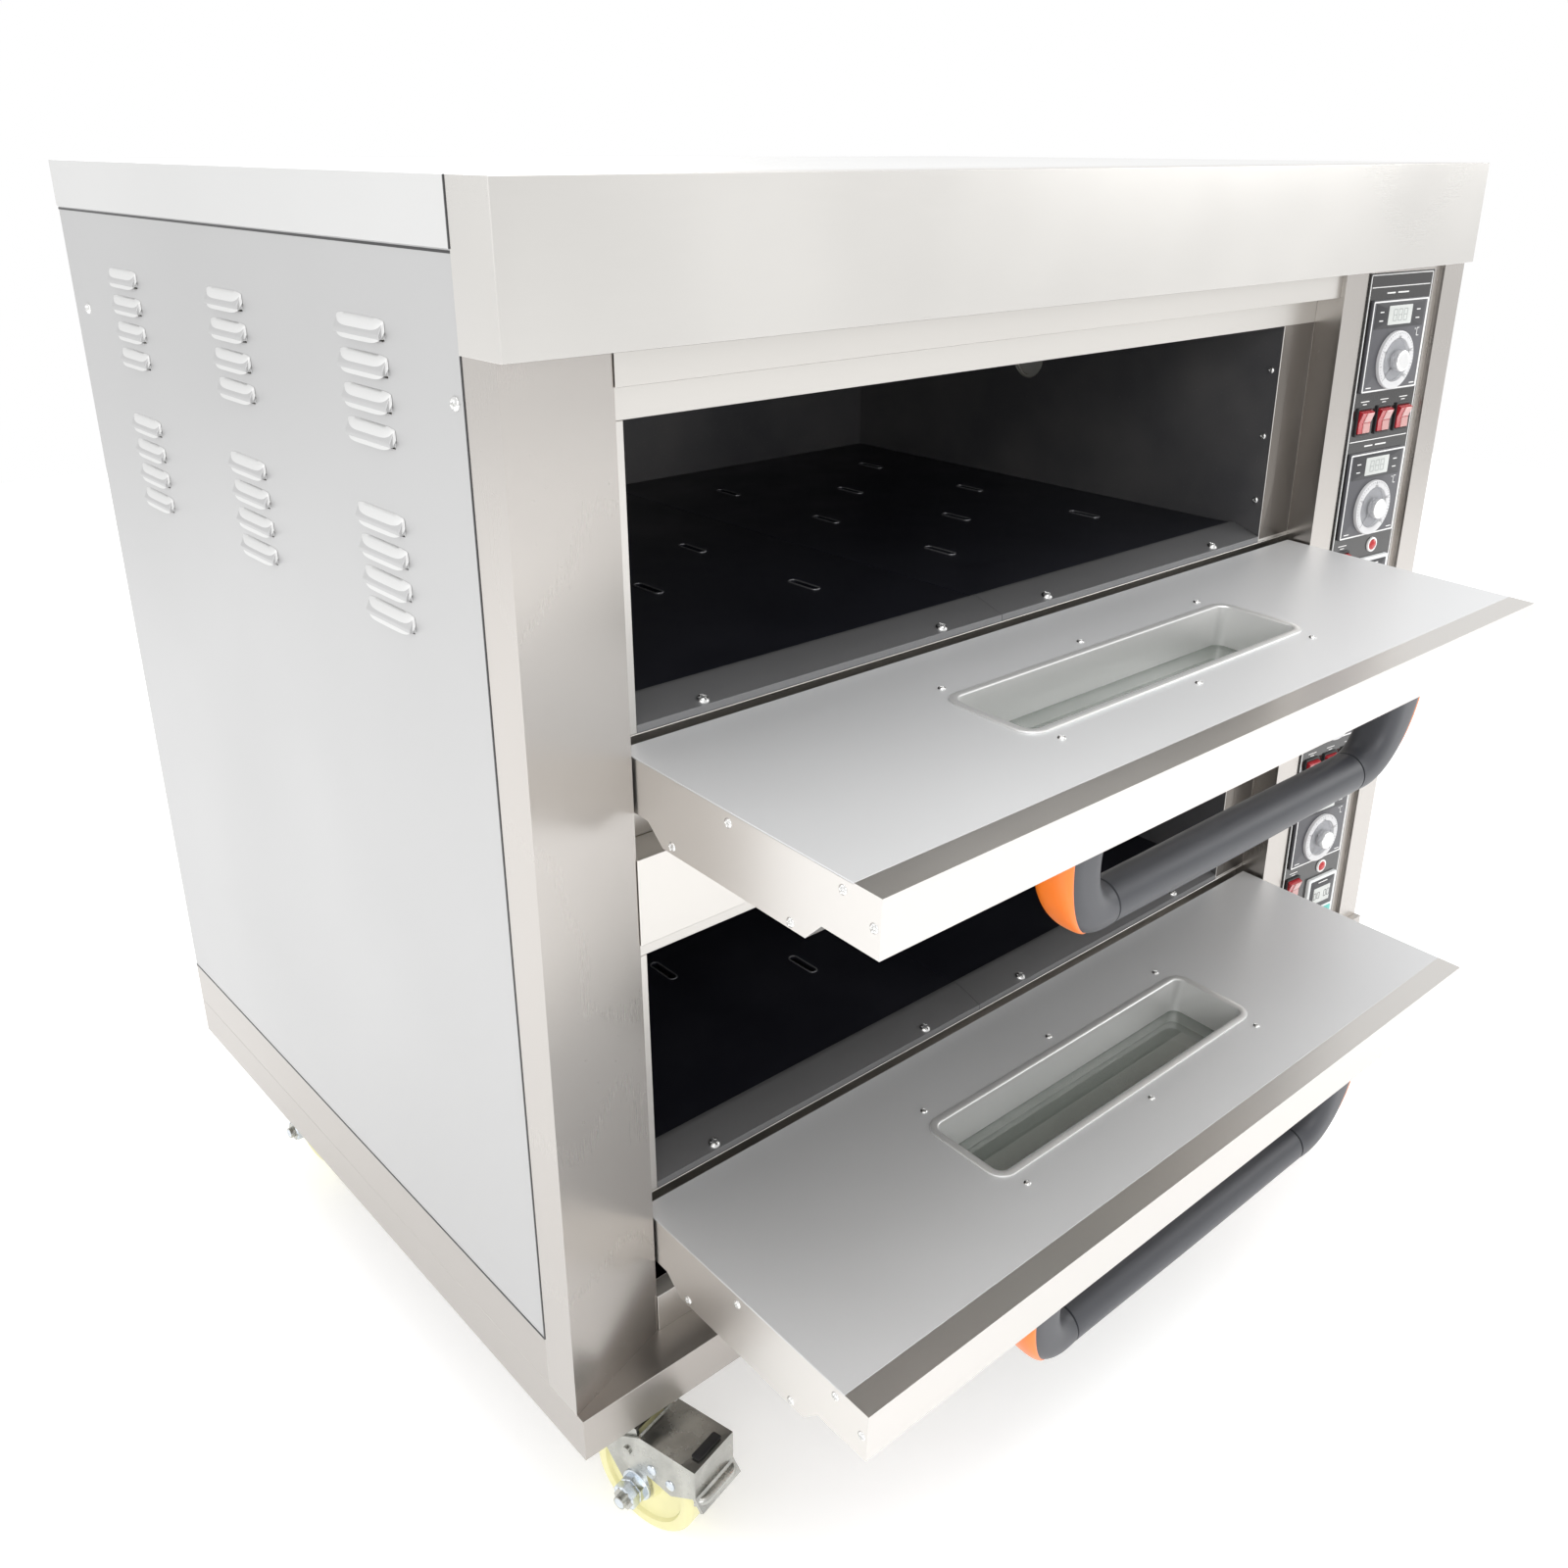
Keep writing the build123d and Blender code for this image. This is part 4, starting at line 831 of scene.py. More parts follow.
@dataclass
class Cabinet:
    """The folded sheets of the cabinet, with rounded folds, louvres and screws.

    Setbacks run back from the hood's front, and drops run down from its top.
    """

    finishes: dict[str, bpy.types.Material]
    sheet: float = 1.2 * MM
    rounding: float = 0.55 * MM
    # the strips of painted shadow in the gaps between sheets: their width and how far they stand off the sheet
    seam_shadow_width: float = 1.8 * MM
    seam_shadow_lift: float = 0.35 * MM
    louvre_width: float = 70 * MM
    louvre_height: float = 16 * MM
    louvre_rise: float = 4.2 * MM
    louvre_sheet: float = 1.0 * MM
    first_setback: float = 182 * MM
    column_pitch: float = 234.5 * MM
    first_drop: float = 89 * MM
    row_pitch: float = 130 * MM
    louvre_pitch: float = 23.3 * MM
    side_screw_setbacks: tuple[float, float] = (61 * MM, 768 * MM)
    side_screw_drop: float = 132 * MM
    rear_screw_inset: float = 14 * MM
    rear_screw_rows: int = 5
    strip_width: float = 56 * MM
    strip_side_gap: float = 0.8 * MM
    strip_bead_shift: float = -12 * MM
    strip_bottom_overlap: float = 13 * MM
    strip_top_inset: float = 54 * MM
    jamb_proud: float = 1.15 * MM       # the jamb's face in front of the chamber
    slot_size: tuple[float, float, float] = (41 * MM, 11 * MM, 5.4 * MM)
    slot_front_inset: float = 134 * MM
    slot_back_inset: float = 117.4 * MM
    slot_column_pitch: float = 118 * MM
    flashing_fall: float = 10.2 * MM
    flashing_depth: float = 31 * MM
    flashing_screws: tuple[float, ...] = (-339 * MM, -74 * MM, 70 * MM, 342 * MM)
    flashing_screw_up: float = 6.5 * MM
    jamb_screw_drops: tuple[float, ...] = (202 * MM, 271 * MM, 340 * MM)
    jamb_screw_setback: float = 72 * MM

    def build(self) -> None:
        """Rounds the visible sheets, dresses the inner ones and adds louvres and screws."""
        for node, finish in (
            ("hood_front", "hood_steel"), ("left_column", "column_steel"), ("right_column", "column_steel"),
            ("control_fascia", "column_steel"), ("base_frame", "base_steel"), ("side_panels", "grey_sheet"),
            # the top cover gets the lighter grey that paints a highlight on it
            ("top_cover", "top_cover_painted_highlight"), ("rear_panel", "grey_sheet"), ("floor_pan", "base_steel"),
            ("upper_door_surround", "surround_steel"), ("lower_door_surround", "surround_steel"),
            ("hearth_plates", "hearth_sheet"), ("hearth_flashings", "flashing_steel"),
        ):
            eased(node, self.finishes[finish], self.rounding)
        for node, finish in (
            ("upper_chamber", "chamber_sheet"), ("lower_chamber", "chamber_sheet"),
            ("heating_elements", "element_tube"), ("insulation", "mineral_wool"),
            ("chamber_lamps", "lamp_glass"), ("electrical_parts", "switchgear"),
        ):
            dress(node, self.finishes[finish])
        self._painted_gap_shadow_lines()
        self._jamb_strips()
        self._slot_edges()
        self._louvres()
        self._side_screws()
        self._flashing_screws()
        self._jamb_screws()
        self._rear_screws()

    def _piece(self, name: str, shells: Sequence[Shell], finish: str, slot: str,
               crease: float = 32.0) -> None:
        """Makes one piece of the cabinet."""
        make_piece(name, shells, "cabinet", self.finishes[finish], crease)

    def _painted_gap_shadow_lines(self) -> None:
        """Lays thin black strips where two sheets meet on the sides and the hood: painted shadow for the shade in
        the narrow gaps between the sheets.
        """
        hood_low, hood_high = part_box("hood_front")
        cover_foot, pan_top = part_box("top_cover")[0].z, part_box("floor_pan")[1].z
        column_side, column_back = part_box("left_column")[0].x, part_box("floor_pan")[0].y
        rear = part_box("rear_panel")[1].y
        width, lift = self.seam_shadow_width, self.seam_shadow_lift
        shells = []
        for hood_side, side, out in ((hood_low.x, column_side, -1.0), (hood_high.x, -column_side, 1.0)):
            for x, (y0, y1), (z0, z1) in (
                (hood_side, (hood_high.y, hood_high.y), (cover_foot, hood_high.z)),
                (side, (hood_high.y, rear), (cover_foot - width, cover_foot - width)),
                (side, (column_back, column_back), (pan_top, hood_low.z)),
                (side, (column_back, rear), (pan_top, pan_top)),
            ):
                middle = Place(np.array([x, (y0 + y1) / 2, (z0 + z1) / 2]), BACK, UP, out * RIGHT)
                outline = rounded(max(y1 - y0, width), max(z1 - z0, width), width / 3)
                shells.append(rings(middle, outline, [(0.0, -lift), (0.0, lift)], 16))
        self._piece("sheet_gap_painted_shadow", shells, "black_bezel_and_painted_shadow", "black_plastic")

    def _jamb_strips(self) -> None:
        """Faces the right jamb of each opening with a dark cover strip and a bead along it.

        Both stay within the 0.4 mm between the jamb's face and the closed door.
        """
        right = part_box("control_fascia")[0].x - self.strip_side_gap
        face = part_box("upper_chamber")[0].y - self.jamb_proud
        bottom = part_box("hearth_flashings")[1].z - self.strip_bottom_overlap
        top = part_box("upper_door_surround")[1].z - self.strip_top_inset
        middle = np.array([right - self.strip_width / 2, face, (bottom + top) / 2])
        strip = rounded(self.strip_width, top - bottom, 1 * MM)
        bead = rounded(2.4 * MM, top - bottom - 4 * MM, 0.8 * MM)
        shells = []
        for drop in (0.0, deck_pitch()):
            place = Place(middle - drop * UP, RIGHT, UP, -BACK)
            shells.append(rings(place, strip, softened(0.3 * MM, 0.1 * MM), 24))
            shells.append(rings(place.moved(self.strip_bead_shift), bead, softened(0.42 * MM, 0.1 * MM), 24))
        self._piece("jamb_cover_strips", shells, "jamb_steel", "brushed_stainless")

    def _slot_edges(self) -> None:
        """Adds a raised edge round each slot in the hearth plates, lighter than the plates."""
        low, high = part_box("hearth_plates")
        middle, quarter = (low.x + high.x) / 2, (high.x - low.x) / 4
        row_pitch = (high.y - low.y - self.slot_front_inset - self.slot_back_inset) / 2
        border = frame_profile(1.4 * MM, 0.9 * MM, 0.3 * MM)
        edges = []
        for drop in (0.0, deck_pitch()):
            for side in (-1, 1):
                for column, rows in ((-1, (0, 1, 2)), (1, (0, 1, 2)), (0, (0.5, 1.5))):
                    for row in rows:
                        spot = np.array([middle + side * quarter + column * self.slot_column_pitch,
                                         low.y + self.slot_front_inset + row * row_pitch, high.z - drop])
                        place = Place(spot, BACK, -RIGHT, UP)
                        edges.append(rings(place, rounded(*self.slot_size), border, 40, closed=True))
        self._piece("hearth_slot_edges", edges, "slot_edge", "chamber_steel")

    def _sides(self) -> list[tuple[str, Place]]:
        """Returns a place on each side sheet, level with the hood's front and its top."""
        low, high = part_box("rear_panel")
        hood_low, hood_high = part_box("hood_front")
        return [(side, Place(np.array([x, hood_low.y, hood_high.z]), BACK, UP, out * RIGHT))
                for side, x, out in (("left", low.x - self.sheet, -1.0), ("right", high.x + self.sheet, 1.0))]

    def _louvre(self, place: Place) -> Shell:
        """One pressed louvre, open along its lower edge.

        Along s across (-1 to 1) and t downwards (0 to 1) the outer skin stands off by
        rise sin(0.5 pi t)^0.7 (1 - s^6)^0.5, and the inner skin lies one sheet behind it.
        """
        across = np.sin(np.linspace(-pi / 2, pi / 2, 25))
        down = np.linspace(0, 1, 9)
        s, t = np.meshgrid(across, down, indexing="ij")
        ends = np.sqrt(np.clip(1 - s ** 6, 0, 1))
        swell = np.sin(0.5 * pi * t) ** 0.7
        rise = self.louvre_rise * swell * ends
        fall = self.louvre_height * (t * (0.35 + 0.65 * ends) + 0.15 * (1 - ends))
        outer = place.at(s * self.louvre_width / 2, -fall, rise + 0.2 * MM)
        inner = place.at(s * self.louvre_width / 2 * 0.97, -fall, np.maximum(rise - self.louvre_sheet, 0.0))
        return Shell(np.concatenate([outer, inner[:, ::-1]], axis=1), False, True)

    def _louvres(self) -> None:
        """Sets three columns of two rows of four louvres on each side."""
        for side, place in self._sides():
            shells = [
                self._louvre(place.moved(
                    self.first_setback + column * self.column_pitch,
                    -self.first_drop - row * self.row_pitch - step * self.louvre_pitch))
                for column in range(3) for row in range(2) for step in range(4)
            ]
            # the louvres take a lighter copy of the side sheets' grey, as painted highlight
            self._piece(f"{side}_louvres", shells, "louvre_sheet_painted_highlight", "grey_sheet", 60.0)

    def _side_screws(self) -> None:
        """Sets two screws near the top of each side."""
        shells = [screw_head(place.moved(setback, -self.side_screw_drop), 5.0 * MM, 3.0 * MM)
                  for _, place in self._sides() for setback in self.side_screw_setbacks]
        self._piece("side_panel_screws", shells, "screw_steel", "fastener_steel")

    def _rear_screws(self) -> None:
        """Sets a row of screws down both edges of the rear panel."""
        low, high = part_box("rear_panel")
        inset = self.rear_screw_inset
        levels = np.linspace(low.z + 4 * inset, high.z - 4 * inset, self.rear_screw_rows)
        shells = [screw_head(Place(np.array([x, high.y, z]), RIGHT, UP, BACK), 4.5 * MM, 2.6 * MM)
                  for x in (low.x + inset, high.x - inset) for z in levels]
        self._piece("rear_panel_screws", shells, "screw_steel", "fastener_steel")

    def _flashing_screws(self) -> None:
        """Sets domed screws on the sloping plates in front of the hearths."""
        plates_low, plates_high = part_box("hearth_plates")
        low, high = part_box("hearth_flashings")
        up = unit((0.0, self.flashing_depth, self.flashing_fall))
        out = unit((0.0, -self.flashing_fall, self.flashing_depth))
        edge = np.array([(plates_low.x + plates_high.x) / 2, low.y, high.z - self.flashing_fall])
        shells = [screw_head(Place(edge - drop * UP, RIGHT, up, out).moved(along, self.flashing_screw_up),
                             5.6 * MM, 3.4 * MM)
                  for drop in (0.0, deck_pitch()) for along in self.flashing_screws]
        self._piece("flashing_screws", shells, "screw_steel", "fastener_steel")

    def _jamb_screws(self) -> None:
        """Sets three small screws at the right edge of each opening."""
        hood_low, hood_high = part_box("hood_front")
        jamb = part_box("upper_chamber")[1].x - self.sheet
        corner = Place(np.array([jamb, hood_low.y + self.jamb_screw_setback, hood_high.z]), BACK, UP, -RIGHT)
        shells = [screw_head(corner.moved(v=-level - drop), 3.4 * MM, 2.0 * MM)
                  for drop in (0.0, deck_pitch()) for level in self.jamb_screw_drops]
        self._piece("jamb_screws", shells, "screw_steel", "fastener_steel")


def deck_pitch() -> float:
    """Returns the height from the lower deck to the upper one."""
    return joint("upper_door_hinge")[0][2] - joint("lower_door_hinge")[0][2]


@dataclass
class Door:
    """One door: skin, window, screws, hinge pins and the bar handle."""

    deck: str
    finishes: dict[str, bpy.types.Material]
    droop: float = radians(2.1)
    hinge_inset: float = 6.0 * MM
    hinge_depth: float = 10.5 * MM
    width: float = 900 * MM
    thickness: float = 60 * MM
    end_thickness: float = 44 * MM
    window: tuple[float, float] = (393 * MM, 96 * MM)
    window_corner: float = 18 * MM
    window_centre: float = 127 * MM
    rim: float = 8 * MM
    handle_span: float = 480 * MM
    handle_centre: float = 247 * MM
    grip_stand: float = 72 * MM
    grip_shift: float = 4 * MM
    grip_radius: float = 18.5 * MM
    leg_width: float = 44 * MM
    leg_depth: float = 40 * MM
    elbow_reach: float = 58 * MM
    elbow_flare: float = 16 * MM
    cap_angle: float = radians(57)      # half the orange shell's spread at the door
    cap_end: float = 0.93               # how far round the bend it reaches
    window_screws: tuple[float, ...] = (-179 * MM, 0.0, 179 * MM)
    window_screw_gap: float = 14 * MM
    end_screws: tuple[tuple[float, float], ...] = (
        (63 * MM, -54 * MM), (191 * MM, -55 * MM), (126 * MM, -9 * MM), (238.5 * MM, -9 * MM),
        (267 * MM, -23 * MM))

    def __post_init__(self) -> None:
        """Works out the door's frame: v runs out from the hinge edge, w up from the inner face."""
        pivot, _ = joint(f"{self.deck}_door_hinge")
        low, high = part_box(f"{self.deck}_door_skin")
        outwards = np.array([0.0, -cos(self.droop), -sin(self.droop)])
        normal = np.array([0.0, -sin(self.droop), cos(self.droop)])
        middle = np.array([(low.x + high.x) / 2, pivot[1], pivot[2]])
        origin = middle - self.hinge_inset * outwards + self.hinge_depth * normal
        self.place = Place(origin, RIGHT, outwards, normal)
        self.body = f"{self.deck}_door"

    def build(self) -> None:
        """Builds and dresses the whole door."""
        eased(f"{self.deck}_door_skin", self.finishes["door_steel"])
        eased(f"{self.deck}_door_inner_panel", self.finishes["door_panel"], 0.45 * MM)
        dress(f"{self.deck}_door_glass", self.finishes["door_glass"])
        dress(f"{self.deck}_door_insulation", self.finishes["mineral_wool"])
        self._window_trim()
        self._screws()
        self._handle()

    def _window_trim(self) -> None:
        """The pressed trim: a rolled flange on each face and the walls between them."""
        deep, lip, wall = -self.thickness, 1.6 * MM, 1.2 * MM
        rim = self.rim
        profile = [
            (0.0, 0.1 * MM), (0.0, 0.9 * MM), (0.3 * MM, 1.4 * MM), (0.9 * MM, lip), (rim - 1.8 * MM, lip),
            (rim - 0.8 * MM, 1.3 * MM), (rim - 0.2 * MM, 0.7 * MM), (rim, -0.3 * MM),
            (rim, deep + 0.3 * MM), (rim - 0.2 * MM, deep - 0.7 * MM), (rim - 0.9 * MM, deep - lip),
            (0.8 * MM, deep - lip), (0.0, deep - 0.9 * MM), (0.0, deep - 0.1 * MM),
            (rim - wall, deep - 0.1 * MM), (rim - wall, 0.1 * MM),
        ]
        outline = rounded(self.window[0], self.window[1], self.window_corner, (0.0, self.window_centre))
        piece = make_piece(f"{self.deck}_window_trim", [rings(self.place, outline, profile, 96, closed=True)],
                           self.body, self.finishes["bright_trim"])
        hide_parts(f"{self.deck}_door_window_trim")

    def _screws(self) -> None:
        """Screws round the window and along both ends, and the two hinge pins."""
        shells = []
        for along in self.window_screws:
            for side in (-1, 1):
                across = self.window_centre + side * (self.window[1] / 2 + self.window_screw_gap)
                shells.append(screw_head(self.place.moved(along, across), 3.6 * MM, 2.0 * MM))
        pin = [(4.5 * MM, -24.9 * MM), (4.5 * MM, 1.6 * MM), (4.1 * MM, 2.2 * MM)]
        for side, way in ((-1, Facing.MINUS_ACROSS), (1, Facing.ACROSS)):
            end = self.place.moved(side * self.width / 2)
            for v, w in self.end_screws:
                shells.append(screw_head(end.moved(0.0, v, w).facing(way), 3.8 * MM, 1.4 * MM))
            shells.append(turned(end.moved(0.0, self.hinge_inset, -self.hinge_depth).facing(way), pin, 28))
        piece = make_piece(f"{self.deck}_door_screws", shells, self.body, self.finishes["screw_steel"])
        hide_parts(f"{self.deck}_door_fasteners")

    def _elbow(self, side: int, angle: np.ndarray, along: np.ndarray, grow: np.ndarray) -> np.ndarray:
        """Points on the elbow that turns from the leg into the grip.

        The middle line is a quarter of a superellipse: x = reach sin^(2/p), height = stand cos^(2/p).
        The section is a superellipse whose power falls from 4 at the leg to 2 at the grip, and whose
        half sizes run from the leg's to the grip's.

        Args:
            side: -1 for the left end of the handle and 1 for the right.
            angle: Section angle, 0 on the outside of the bend.
            along: 0 at the door and 1 at the grip.
            grow: How far the surface stands off the plain one.

        Returns:
            The points.
        """
        turn = along * pi / 2
        start = self.leg_width / 2 - self.elbow_flare
        run = (self.elbow_reach - start) * (1 - np.cos(turn) ** 0.9)
        drop = self.grip_stand * np.sin(turn) ** 0.95
        power = 2.0 / (4.0 - 2.0 * along)
        half_in = (1 - along) * self.leg_width / 2 + along * self.grip_radius + grow
        half_side = (1 - along) * self.leg_depth / 2 + along * self.grip_radius + grow
        c, s = np.cos(angle), np.sin(angle)
        out = half_in * np.sign(c) * np.abs(c) ** power
        sideways = half_side * np.sign(s) * np.abs(s) ** power
        x = start + run - out * np.cos(turn)
        height = -self.end_thickness - drop - out * np.sin(turn)
        u = side * (self.handle_span / 2 - x)
        shift = self.handle_centre - self.grip_shift * along
        return self.place.at(u, shift + sideways, height)

    def _handle(self) -> None:
        """Two elbows with orange shells on their outer sides, and the grip between them."""
        sides = 56
        angle, along = np.meshgrid(np.arange(sides) * 2 * pi / sides, np.linspace(0, 1, 30), indexing="ij")
        elbows = [Shell(capped(self._elbow(side, angle, along, 0 * along))) for side in (-1, 1)]
        shells = [self._orange(side) for side in (-1, 1)]
        make_piece(f"{self.deck}_handle_caps", shells, self.body, self.finishes["orange_shell"])
        legs = make_piece(f"{self.deck}_handle_elbows", elbows, self.body, self.finishes["charcoal_grip"])
        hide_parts(f"{self.deck}_door_handle_ends")
        axis = self.place.moved(0.0, self.handle_centre - self.grip_shift,
                                -self.end_thickness - self.grip_stand)
        grip = make_piece(f"{self.deck}_handle_bar", [turned(axis.facing(Facing.ACROSS), self._grip(), sides)],
                          self.body, self.finishes["charcoal_grip"])
        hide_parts(f"{self.deck}_door_handle_grip")

    def _grip(self) -> list[tuple[float, float]]:
        """Returns the grip's profile: radius r + 0.5 mm sin^2(pi k / 12), with a step down at each end."""
        half, r = self.handle_span / 2 - self.elbow_reach, self.grip_radius
        neck = r - 1.6 * MM
        start, length, parts = -half + 2.0 * MM, 2 * half - 4.0 * MM, 12
        swell = [(r + 0.5 * MM * sin(pi * k / parts) ** 2, start + length * k / parts)
                 for k in range(1, parts)]
        return ([(neck, -half), (neck, -half + 1.2 * MM), (r, start)] + swell
                + [(r, -start), (neck, half - 1.2 * MM), (neck, half)])

    def _orange(self, side: int) -> Shell:
        """The orange shell: a crescent on the outside of the bend that narrows to a point.

        At a share t of its length from the door, it covers section angles within
        cap_angle (1 - t^2.2).
        """
        spread = np.linspace(-1, 1, 33)
        down = np.linspace(0, self.cap_end, 34)
        part, along = np.meshgrid(spread, down, indexing="ij")
        reach = self.cap_angle * (1 - (along / self.cap_end) ** 2.2)
        angle = part * reach
        edge = np.sqrt(np.clip(1 - part ** 8, 0, 1))
        outer = self._elbow(side, angle, along, 1.3 * MM * edge)
        inner = self._elbow(side, angle, along, -1.5 * MM + 0 * along)
        return Shell(np.concatenate([outer, inner[::-1]], axis=0), True, False)


@dataclass
class ControlColumn:
    """The instruments of both decks on their black plates."""

    finishes: dict[str, bpy.types.Material]
    controller: tuple[float, float] = (100 * MM, 97 * MM)
    bezel: float = 3.0 * MM
    controller_depth: float = 75 * MM
    dial_below: float = 15.5 * MM
    dial_radius: float = 31 * MM
    plate: tuple[float, float] = (114 * MM, 400 * MM)
    plate_rise: float = 76.3 * MM       # plate's top edge above the upper controller's middle
    timer: tuple[float, float] = (56 * MM, 76 * MM)
    rocker: tuple[float, float] = (26.2 * MM, 31.2 * MM)
    rocker_crest: float = 3.5 * MM      # the middle ridge above the pivot
    rocker_tilt: float = 9.0            # degrees, at rest
    rocker_bend: float = 10.1           # degrees that each half of a rocker leans from its middle
    scale_start: float = radians(225)   # the scale's zero, from across towards up
    scale_sweep: float = radians(270)
    scale_steps: int = 40

    def build(self) -> None:
        """Builds the fixed faces of each deck, then the dials and rockers."""
        for deck in DECKS:
            self._deck(deck)
        dress("control_plates", self.finishes["black_panel"])

    def _place(self, spot: np.ndarray, deck: str) -> Place:
        """Returns a place at a joint's position, on the plate's own directions."""
        return Place(spot, joint(f"{deck}_left_rocker_tip")[1], UP, joint(f"{deck}_top_dial_turn")[1])

    def _piece(self, name: str, shells: Sequence[Shell], finish: str, slot: str,
               body: str = "cabinet") -> bpy.types.Object:
        """Makes one piece of the column."""
        return make_piece(name, shells, body, self.finishes[finish])

    def _deck(self, deck: str) -> None:
        """Builds everything on one deck's plate."""
        layers = {layer: [] for layer in ("bodies", "faces", "headers", "displays", "figures", "lines")}
        for role in ("top", "bottom"):
            spot, _ = joint(f"{deck}_{role}_dial_turn")
            centre = self._place(spot, deck).moved(v=self.dial_below)
            self._controller(centre, layers)
            self._dial(deck, role, centre.moved(w=self.bezel))
        face = self._place(joint(f"{deck}_top_dial_turn")[0], deck)
        middle = face.moved(v=self.dial_below + self.plate_rise - self.plate[1] / 2)
        border = rounded(self.plate[0] - 3 * MM, self.plate[1] - 3 * MM, 2 * MM)
        layers["lines"].append(rings(middle, border, frame_profile(1.2 * MM, 0.25 * MM, 0.1 * MM), 48,
                                     closed=True))
        housings = self._rockers(deck, layers["lines"])
        self._timer(deck, middle, layers["lines"])
        self._pilot(deck, middle)
        self._piece(f"{deck}_controller_bodies", layers["bodies"], "black_bezel_and_painted_shadow", "black_plastic")
        faces = self._piece(f"{deck}_controller_faces", layers["faces"], "controller_grey",
                            "instrument_plastic")
        self._piece(f"{deck}_controller_headers", layers["headers"], "controller_dark", "black_plastic")
        self._piece(f"{deck}_displays", layers["displays"], "display_window", "instrument_plastic")
        self._piece(f"{deck}_display_figures", layers["figures"], "display_digit", "instrument_plastic")
        self._piece(f"{deck}_white_lines", layers["lines"], "white_print", "instrument_plastic")
        rockers = self._piece(f"{deck}_rocker_housings", housings, "black_bezel_and_painted_shadow", "black_plastic")
        if deck == "upper":
            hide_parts("panel_instruments")
            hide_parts("panel_fittings")

    def _controller(self, centre: Place, layers: dict[str, list[Shell]]) -> None:
        """Adds one controller's body, face, display and printed lines to the deck's layers.

        Args:
            centre: The middle of its face, on the plate.
            layers: The shells of each of the deck's pieces, which this adds to.
        """
        width, height = self.controller
        depth = self.controller_depth
        layers["bodies"].append(rings(centre, rounded(90 * MM, 90 * MM, 3 * MM), [
            (0.8 * MM, -depth), (0.0, -depth + 0.8 * MM), (0.0, 0.0)], 32))
        layers["faces"].append(rings(centre, rounded(width, height, 2 * MM),
                                     softened(self.bezel, 0.7 * MM), 48))
        top, lines = centre.moved(w=self.bezel), layers["lines"]
        lines.append(rings(top, rounded(width - 2 * MM, height - 2 * MM, 1.5 * MM),
                           frame_profile(1.5 * MM, 0.3 * MM, 0.1 * MM), 48, closed=True))
        header = (0.0, 32.0)
        layers["headers"].append(patch(top, (88, 27, 1.0), header, (0.25, 0.1), 32))
        layers["displays"].append(patch(top, (42, 20, 1.0), header, (0.7, 0.3), 32))
        layers["figures"] += lettered("888", top.moved(v=32 * MM, w=0.7 * MM), 12 * MM, 0.1 * MM)
        lines += lettered("o", top.moved(33 * MM, 14.5 * MM), 3.2 * MM)
        lines += lettered("C", top.moved(38 * MM, 12 * MM), 8 * MM, 0.25 * MM)
        lines += [patch(top.moved(w=0.2 * MM), (7, 1.1, 0.5), spot)
                  for spot in ((-33, 36), (-33, 27), (33, 36), (33, 27))]
        lines += [patch(top, (9, 1.1, 0.5), spot) for spot in ((-38, -43), (41, -43))]
        lines += [patch(centre, (long, 1.6, 0.7), (u, 55)) for u, long in ((-17, 15), (5, 20))]
        lines.append(patch(centre, (104, 1.0, 0.4), (0.0, 61.5)))

    def _dial(self, deck: str, role: str, top: Place) -> None:
        """The dial: a white scale ring, a clear inner disc, a metal knob and a pointer."""
        body = f"{deck}_{role}_dial"
        hub = top.moved(v=-self.dial_below, w=0.3 * MM)
        ring_width, ring_height = 8.0 * MM, 4.0 * MM
        band = frame_profile(ring_width, ring_height, 1.0 * MM)
        clear_profile = [(0.0, 0.4 * MM), (0.0, 2.6 * MM), (0.5 * MM, 3.0 * MM)]
        knob_profile = [(1.2 * MM, 3.0 * MM), (1.2 * MM, 4.2 * MM), (0.0, 4.8 * MM), (0.0, 12.2 * MM),
                        (0.9 * MM, 13.3 * MM), (2.2 * MM, 13.6 * MM), (2.8 * MM, 13.1 * MM)]
        shaft_profile = [(3 * MM, -12 * MM), (3 * MM, 0.4 * MM)]
        ring = rings(hub, disc(self.dial_radius), band, 72, closed=True)
        clear = rings(hub, disc(self.dial_radius - ring_width + 0.2 * MM), clear_profile, 56)
        knob = [ribbed(hub, 11 * MM, 36, 0.25 * MM, knob_profile), turned(hub, shaft_profile, 20)]
        marks = self._scale(hub.moved(w=ring_height))
        pointer = rounded(11 * MM, 1.0 * MM, 0.4 * MM, (17 * MM, 0.0))
        marks.append(rings(spoke(hub.moved(w=3.0 * MM), self.scale_start), pointer,
                           [(0.0, 0.0), (0.0, 0.2 * MM)], 16))
        shown = self._piece(f"{body}_ring", [ring], "dial_white", "dial_plastic", body)
        self._piece(f"{body}_marks", marks, "dial_mark", "dial_plastic", body)
        self._piece(f"{body}_disc", [clear], "dial_clear", "dial_plastic", body)
        self._piece(f"{body}_knob", knob, "knob_metal", "dial_plastic", body)
        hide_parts(body)

    def _scale(self, top: Place) -> list[Shell]:
        """Returns the scale: a tick for each step, a longer one every 5, and a number every 10."""
        shells = []
        for step in range(self.scale_steps + 1):
            turn = self.scale_start - step * self.scale_sweep / self.scale_steps
            length = (1.6 if step % 5 else 3.0) * MM
            tick = rounded(length, 0.5 * MM, 0.2 * MM, (self.dial_radius - 1.4 * MM - length / 2, 0.0))
            shells.append(rings(spoke(top, turn), tick, [(0.0, 0.0), (0.0, 0.12 * MM)], 12))
            if step % 10 == 0:
                reach = self.dial_radius - 6.6 * MM
                spot = top.moved(reach * cos(turn), reach * sin(turn))
                shells += lettered(f"{step * 10}", spot, 2.4 * MM, 0.12 * MM)
        return shells

